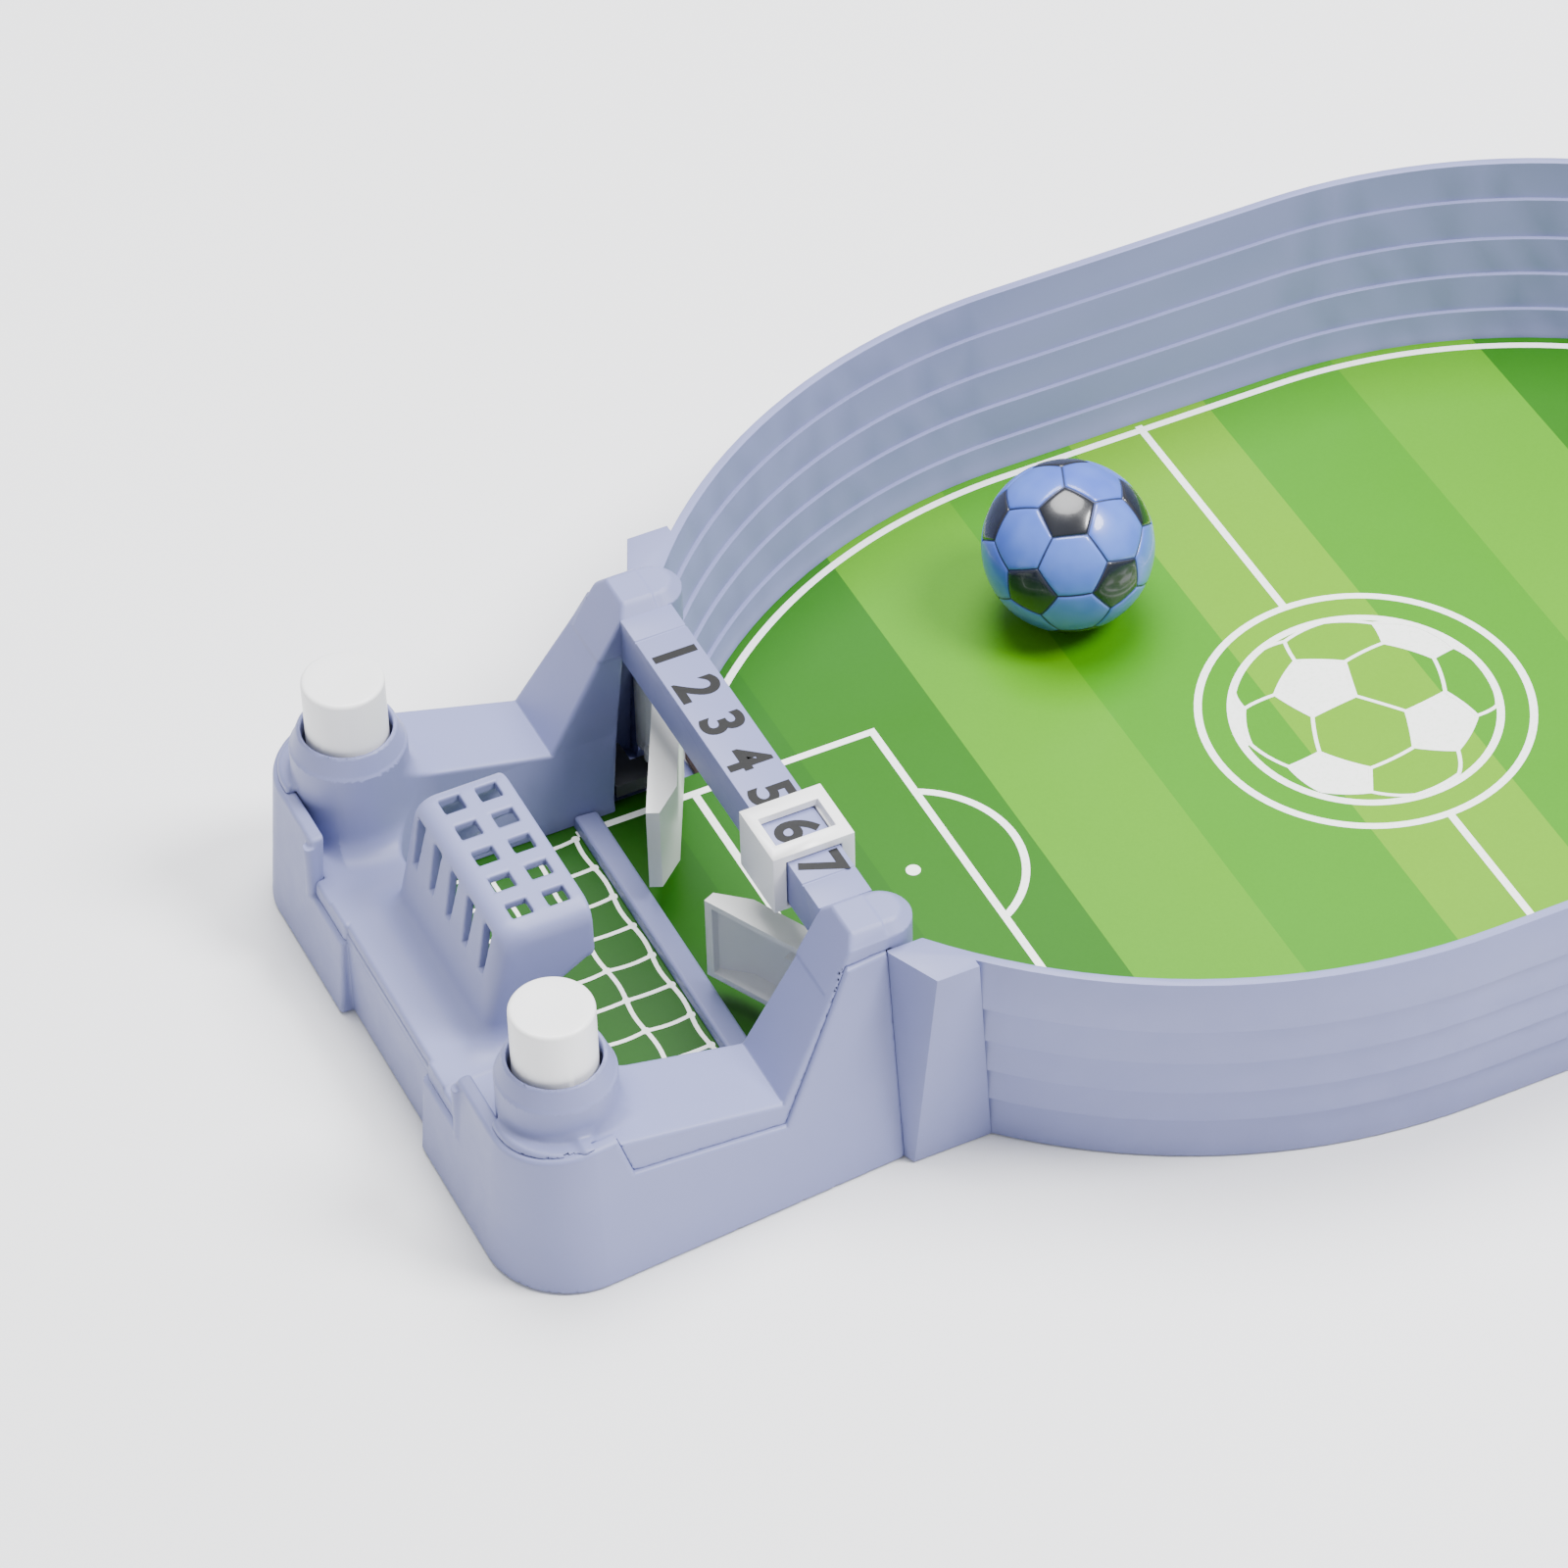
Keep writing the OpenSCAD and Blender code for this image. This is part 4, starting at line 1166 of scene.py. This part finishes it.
def add_net_prints():
    """The net printed on the floor of each goal: bowed strings between knots."""
    columns = [NET_FRONT_X - NET_PITCH_X * i for i in range(5)]
    rows = [NET_OFFSET_Y + NET_PITCH_Y * i for i in range(-4, 5)]
    bow, steps = 0.5, 6
    for end in ENDS:
        parts = []
        for index, y in enumerate(rows):
            path = []
            for i in range((len(columns) - 1) * steps + 1):
                share = i / steps
                sag = bow * abs(math.sin(math.pi * share)) * (0.4 if index % 2 else 1)
                path.append((columns[0] - NET_PITCH_X * share, y - sag))
            parts.append(stroke(path, 0.9))
        for index, x in enumerate(columns):
            path = []
            for i in range((len(rows) - 1) * steps + 1):
                share = i / steps
                sag = bow * math.sin(math.pi * share) * (-1 if index % 2 else 1)
                path.append((x + sag * 0.8, rows[0] + NET_PITCH_Y * share))
            parts.append(stroke(path, 0.9))
        for x in columns:
            for y in rows:
                parts.append(slab(circle(0.85, (x, y), 16)))
        points, faces = layered(parts)
        piece(f"{end}_net_print", turned(points, end), faces, WHITE_INK, "game", "turf_print", smooth=False)


def add_score_numbers():
    """Numbers 1 to 7 on each rail, read from the side of the rail's goal."""
    first_y, pitch, height = 30.6, 10.8, 9.0
    for end in ENDS:
        points, faces = [], []
        for number in range(1, 8):
            letter = bpy.data.curves.new("number", "FONT")
            letter.body = str(number)
            letter.align_x, letter.align_y = "CENTER", "CENTER"
            letter.size = 1.0
            letter.offset = 0.03
            letter.extrude = 0.004
            letter.resolution_u = 6
            holder = bpy.data.objects.new("number", letter)
            shape = bpy.data.meshes.new_from_object(holder)
            glyph = np.array([v.co for v in shape.vertices])
            glyph[:, :2] -= (glyph[:, :2].max(0) + glyph[:, :2].min(0)) / 2
            scale = height / (glyph[:, 1].max() - glyph[:, 1].min())
            y = first_y - (number - 1) * pitch
            placed = [(RAIL_X + g[1] * scale, y - g[0] * scale, RAIL_HIGH[2] + g[2] * 8) for g in glyph]
            part = (turned(placed, end), [tuple(p.vertices) for p in shape.polygons])
            points, faces = merged((points, faces), part)
            bpy.data.objects.remove(holder)
            bpy.data.meshes.remove(shape)
            bpy.data.curves.remove(letter)
        piece(f"{end}_score_numbers", points, faces, BLACK_INK, "game", "lilac_plastic", smooth=False)


# ---- floor, light and camera ----


def add_floor():
    mesh = bpy.data.meshes.new("floor")
    size = 4.0
    corners = [(-size, -size, 0), (size, -size, 0), (size, size, 0), (-size, size, 0)]
    mesh.from_pydata(corners, [], [(0, 1, 2, 3)])
    floor = bpy.data.objects.new("floor", mesh)
    link(floor)
    shade = Shader("pale_floor", Roughness=0.9, Specular_IOR_Level=0.1)
    shade.colour(shade.ramp(shade.noise(2), [(0.3, (0.86, 0.86, 0.87, 1)), (0.7, (0.88, 0.88, 0.89, 1))]))
    mesh.materials.append(shade.material)


def add_light(name, place, target, size, power):
    light = bpy.data.lights.new(name, "AREA")
    light.shape = "DISK"
    light.size = size
    light.energy = power
    obj = bpy.data.objects.new(name, light)
    obj.location = place
    obj.rotation_euler = (Vector(target) - Vector(place)).to_track_quat("-Z", "Y").to_euler()
    link(obj)


def add_lights():
    world = bpy.data.worlds.new("studio")
    bpy.context.scene.world = world
    world.use_nodes = True
    background = world.node_tree.nodes["Background"]
    background.inputs["Color"].default_value = (0.95, 0.97, 1.0, 1)
    background.inputs["Strength"].default_value = 0.72
    add_light("key", (0.8, -0.7, 1.6), (0, 0, 0), 0.7, 58)
    add_light("top", (0.1, 0.4, 1.7), (0, 0, 0), 1.2, 58)


AZIMUTH, ELEVATION, ROLL = math.radians(-29.18), math.radians(41.72), math.radians(1.54)
DISTANCE = 1298.1
ASIDE, RAISED = 38.3, 37.1
LENS = 148.2
# how far the camera is turned from its first line of sight, as slopes to the right and up
AIM = (-0.0605, -0.0402)


def add_camera():
    """A long lens from the front left, above one corner."""
    back = Vector((math.sin(AZIMUTH) * math.cos(ELEVATION), -math.cos(AZIMUTH) * math.cos(ELEVATION),
                   math.sin(ELEVATION)))
    level = Vector((math.cos(AZIMUTH), math.sin(AZIMUTH), 0))
    upright = back.cross(level)
    right = level * math.cos(ROLL) + upright * math.sin(ROLL)
    up = upright * math.cos(ROLL) - level * math.sin(ROLL)
    place = (Vector((0, 0, PITCH_Z)) + back * DISTANCE - right * ASIDE + up * RAISED) * MM
    data = bpy.data.cameras.new("camera")
    data.lens = LENS
    data.sensor_width = 36
    back = (back - right * AIM[0] - up * AIM[1]).normalized()
    right = (right - back * right.dot(back)).normalized()
    up = back.cross(right)
    camera = bpy.data.objects.new("camera", data)
    camera.matrix_world = Matrix.Translation(place) @ Matrix((right, up, back)).transposed().to_4x4()
    link(camera)
    bpy.context.scene.camera = camera


def paint_carried_nodes():
    """CAD nodes that are shown as they are get their materials."""
    for node, material in (("pitch_board", BOARD), ("pitch_sheet", TURF)):
        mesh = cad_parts[node].data
        mesh.materials.clear()
        mesh.materials.append(material)


add_mouldings()
add_stands()
add_softened()
add_buttons()
add_springs()
add_screws()
add_ball()
add_pitch_lines()
add_centre_print()
add_net_prints()
add_score_numbers()
paint_carried_nodes()
add_floor()
add_lights()
add_camera()
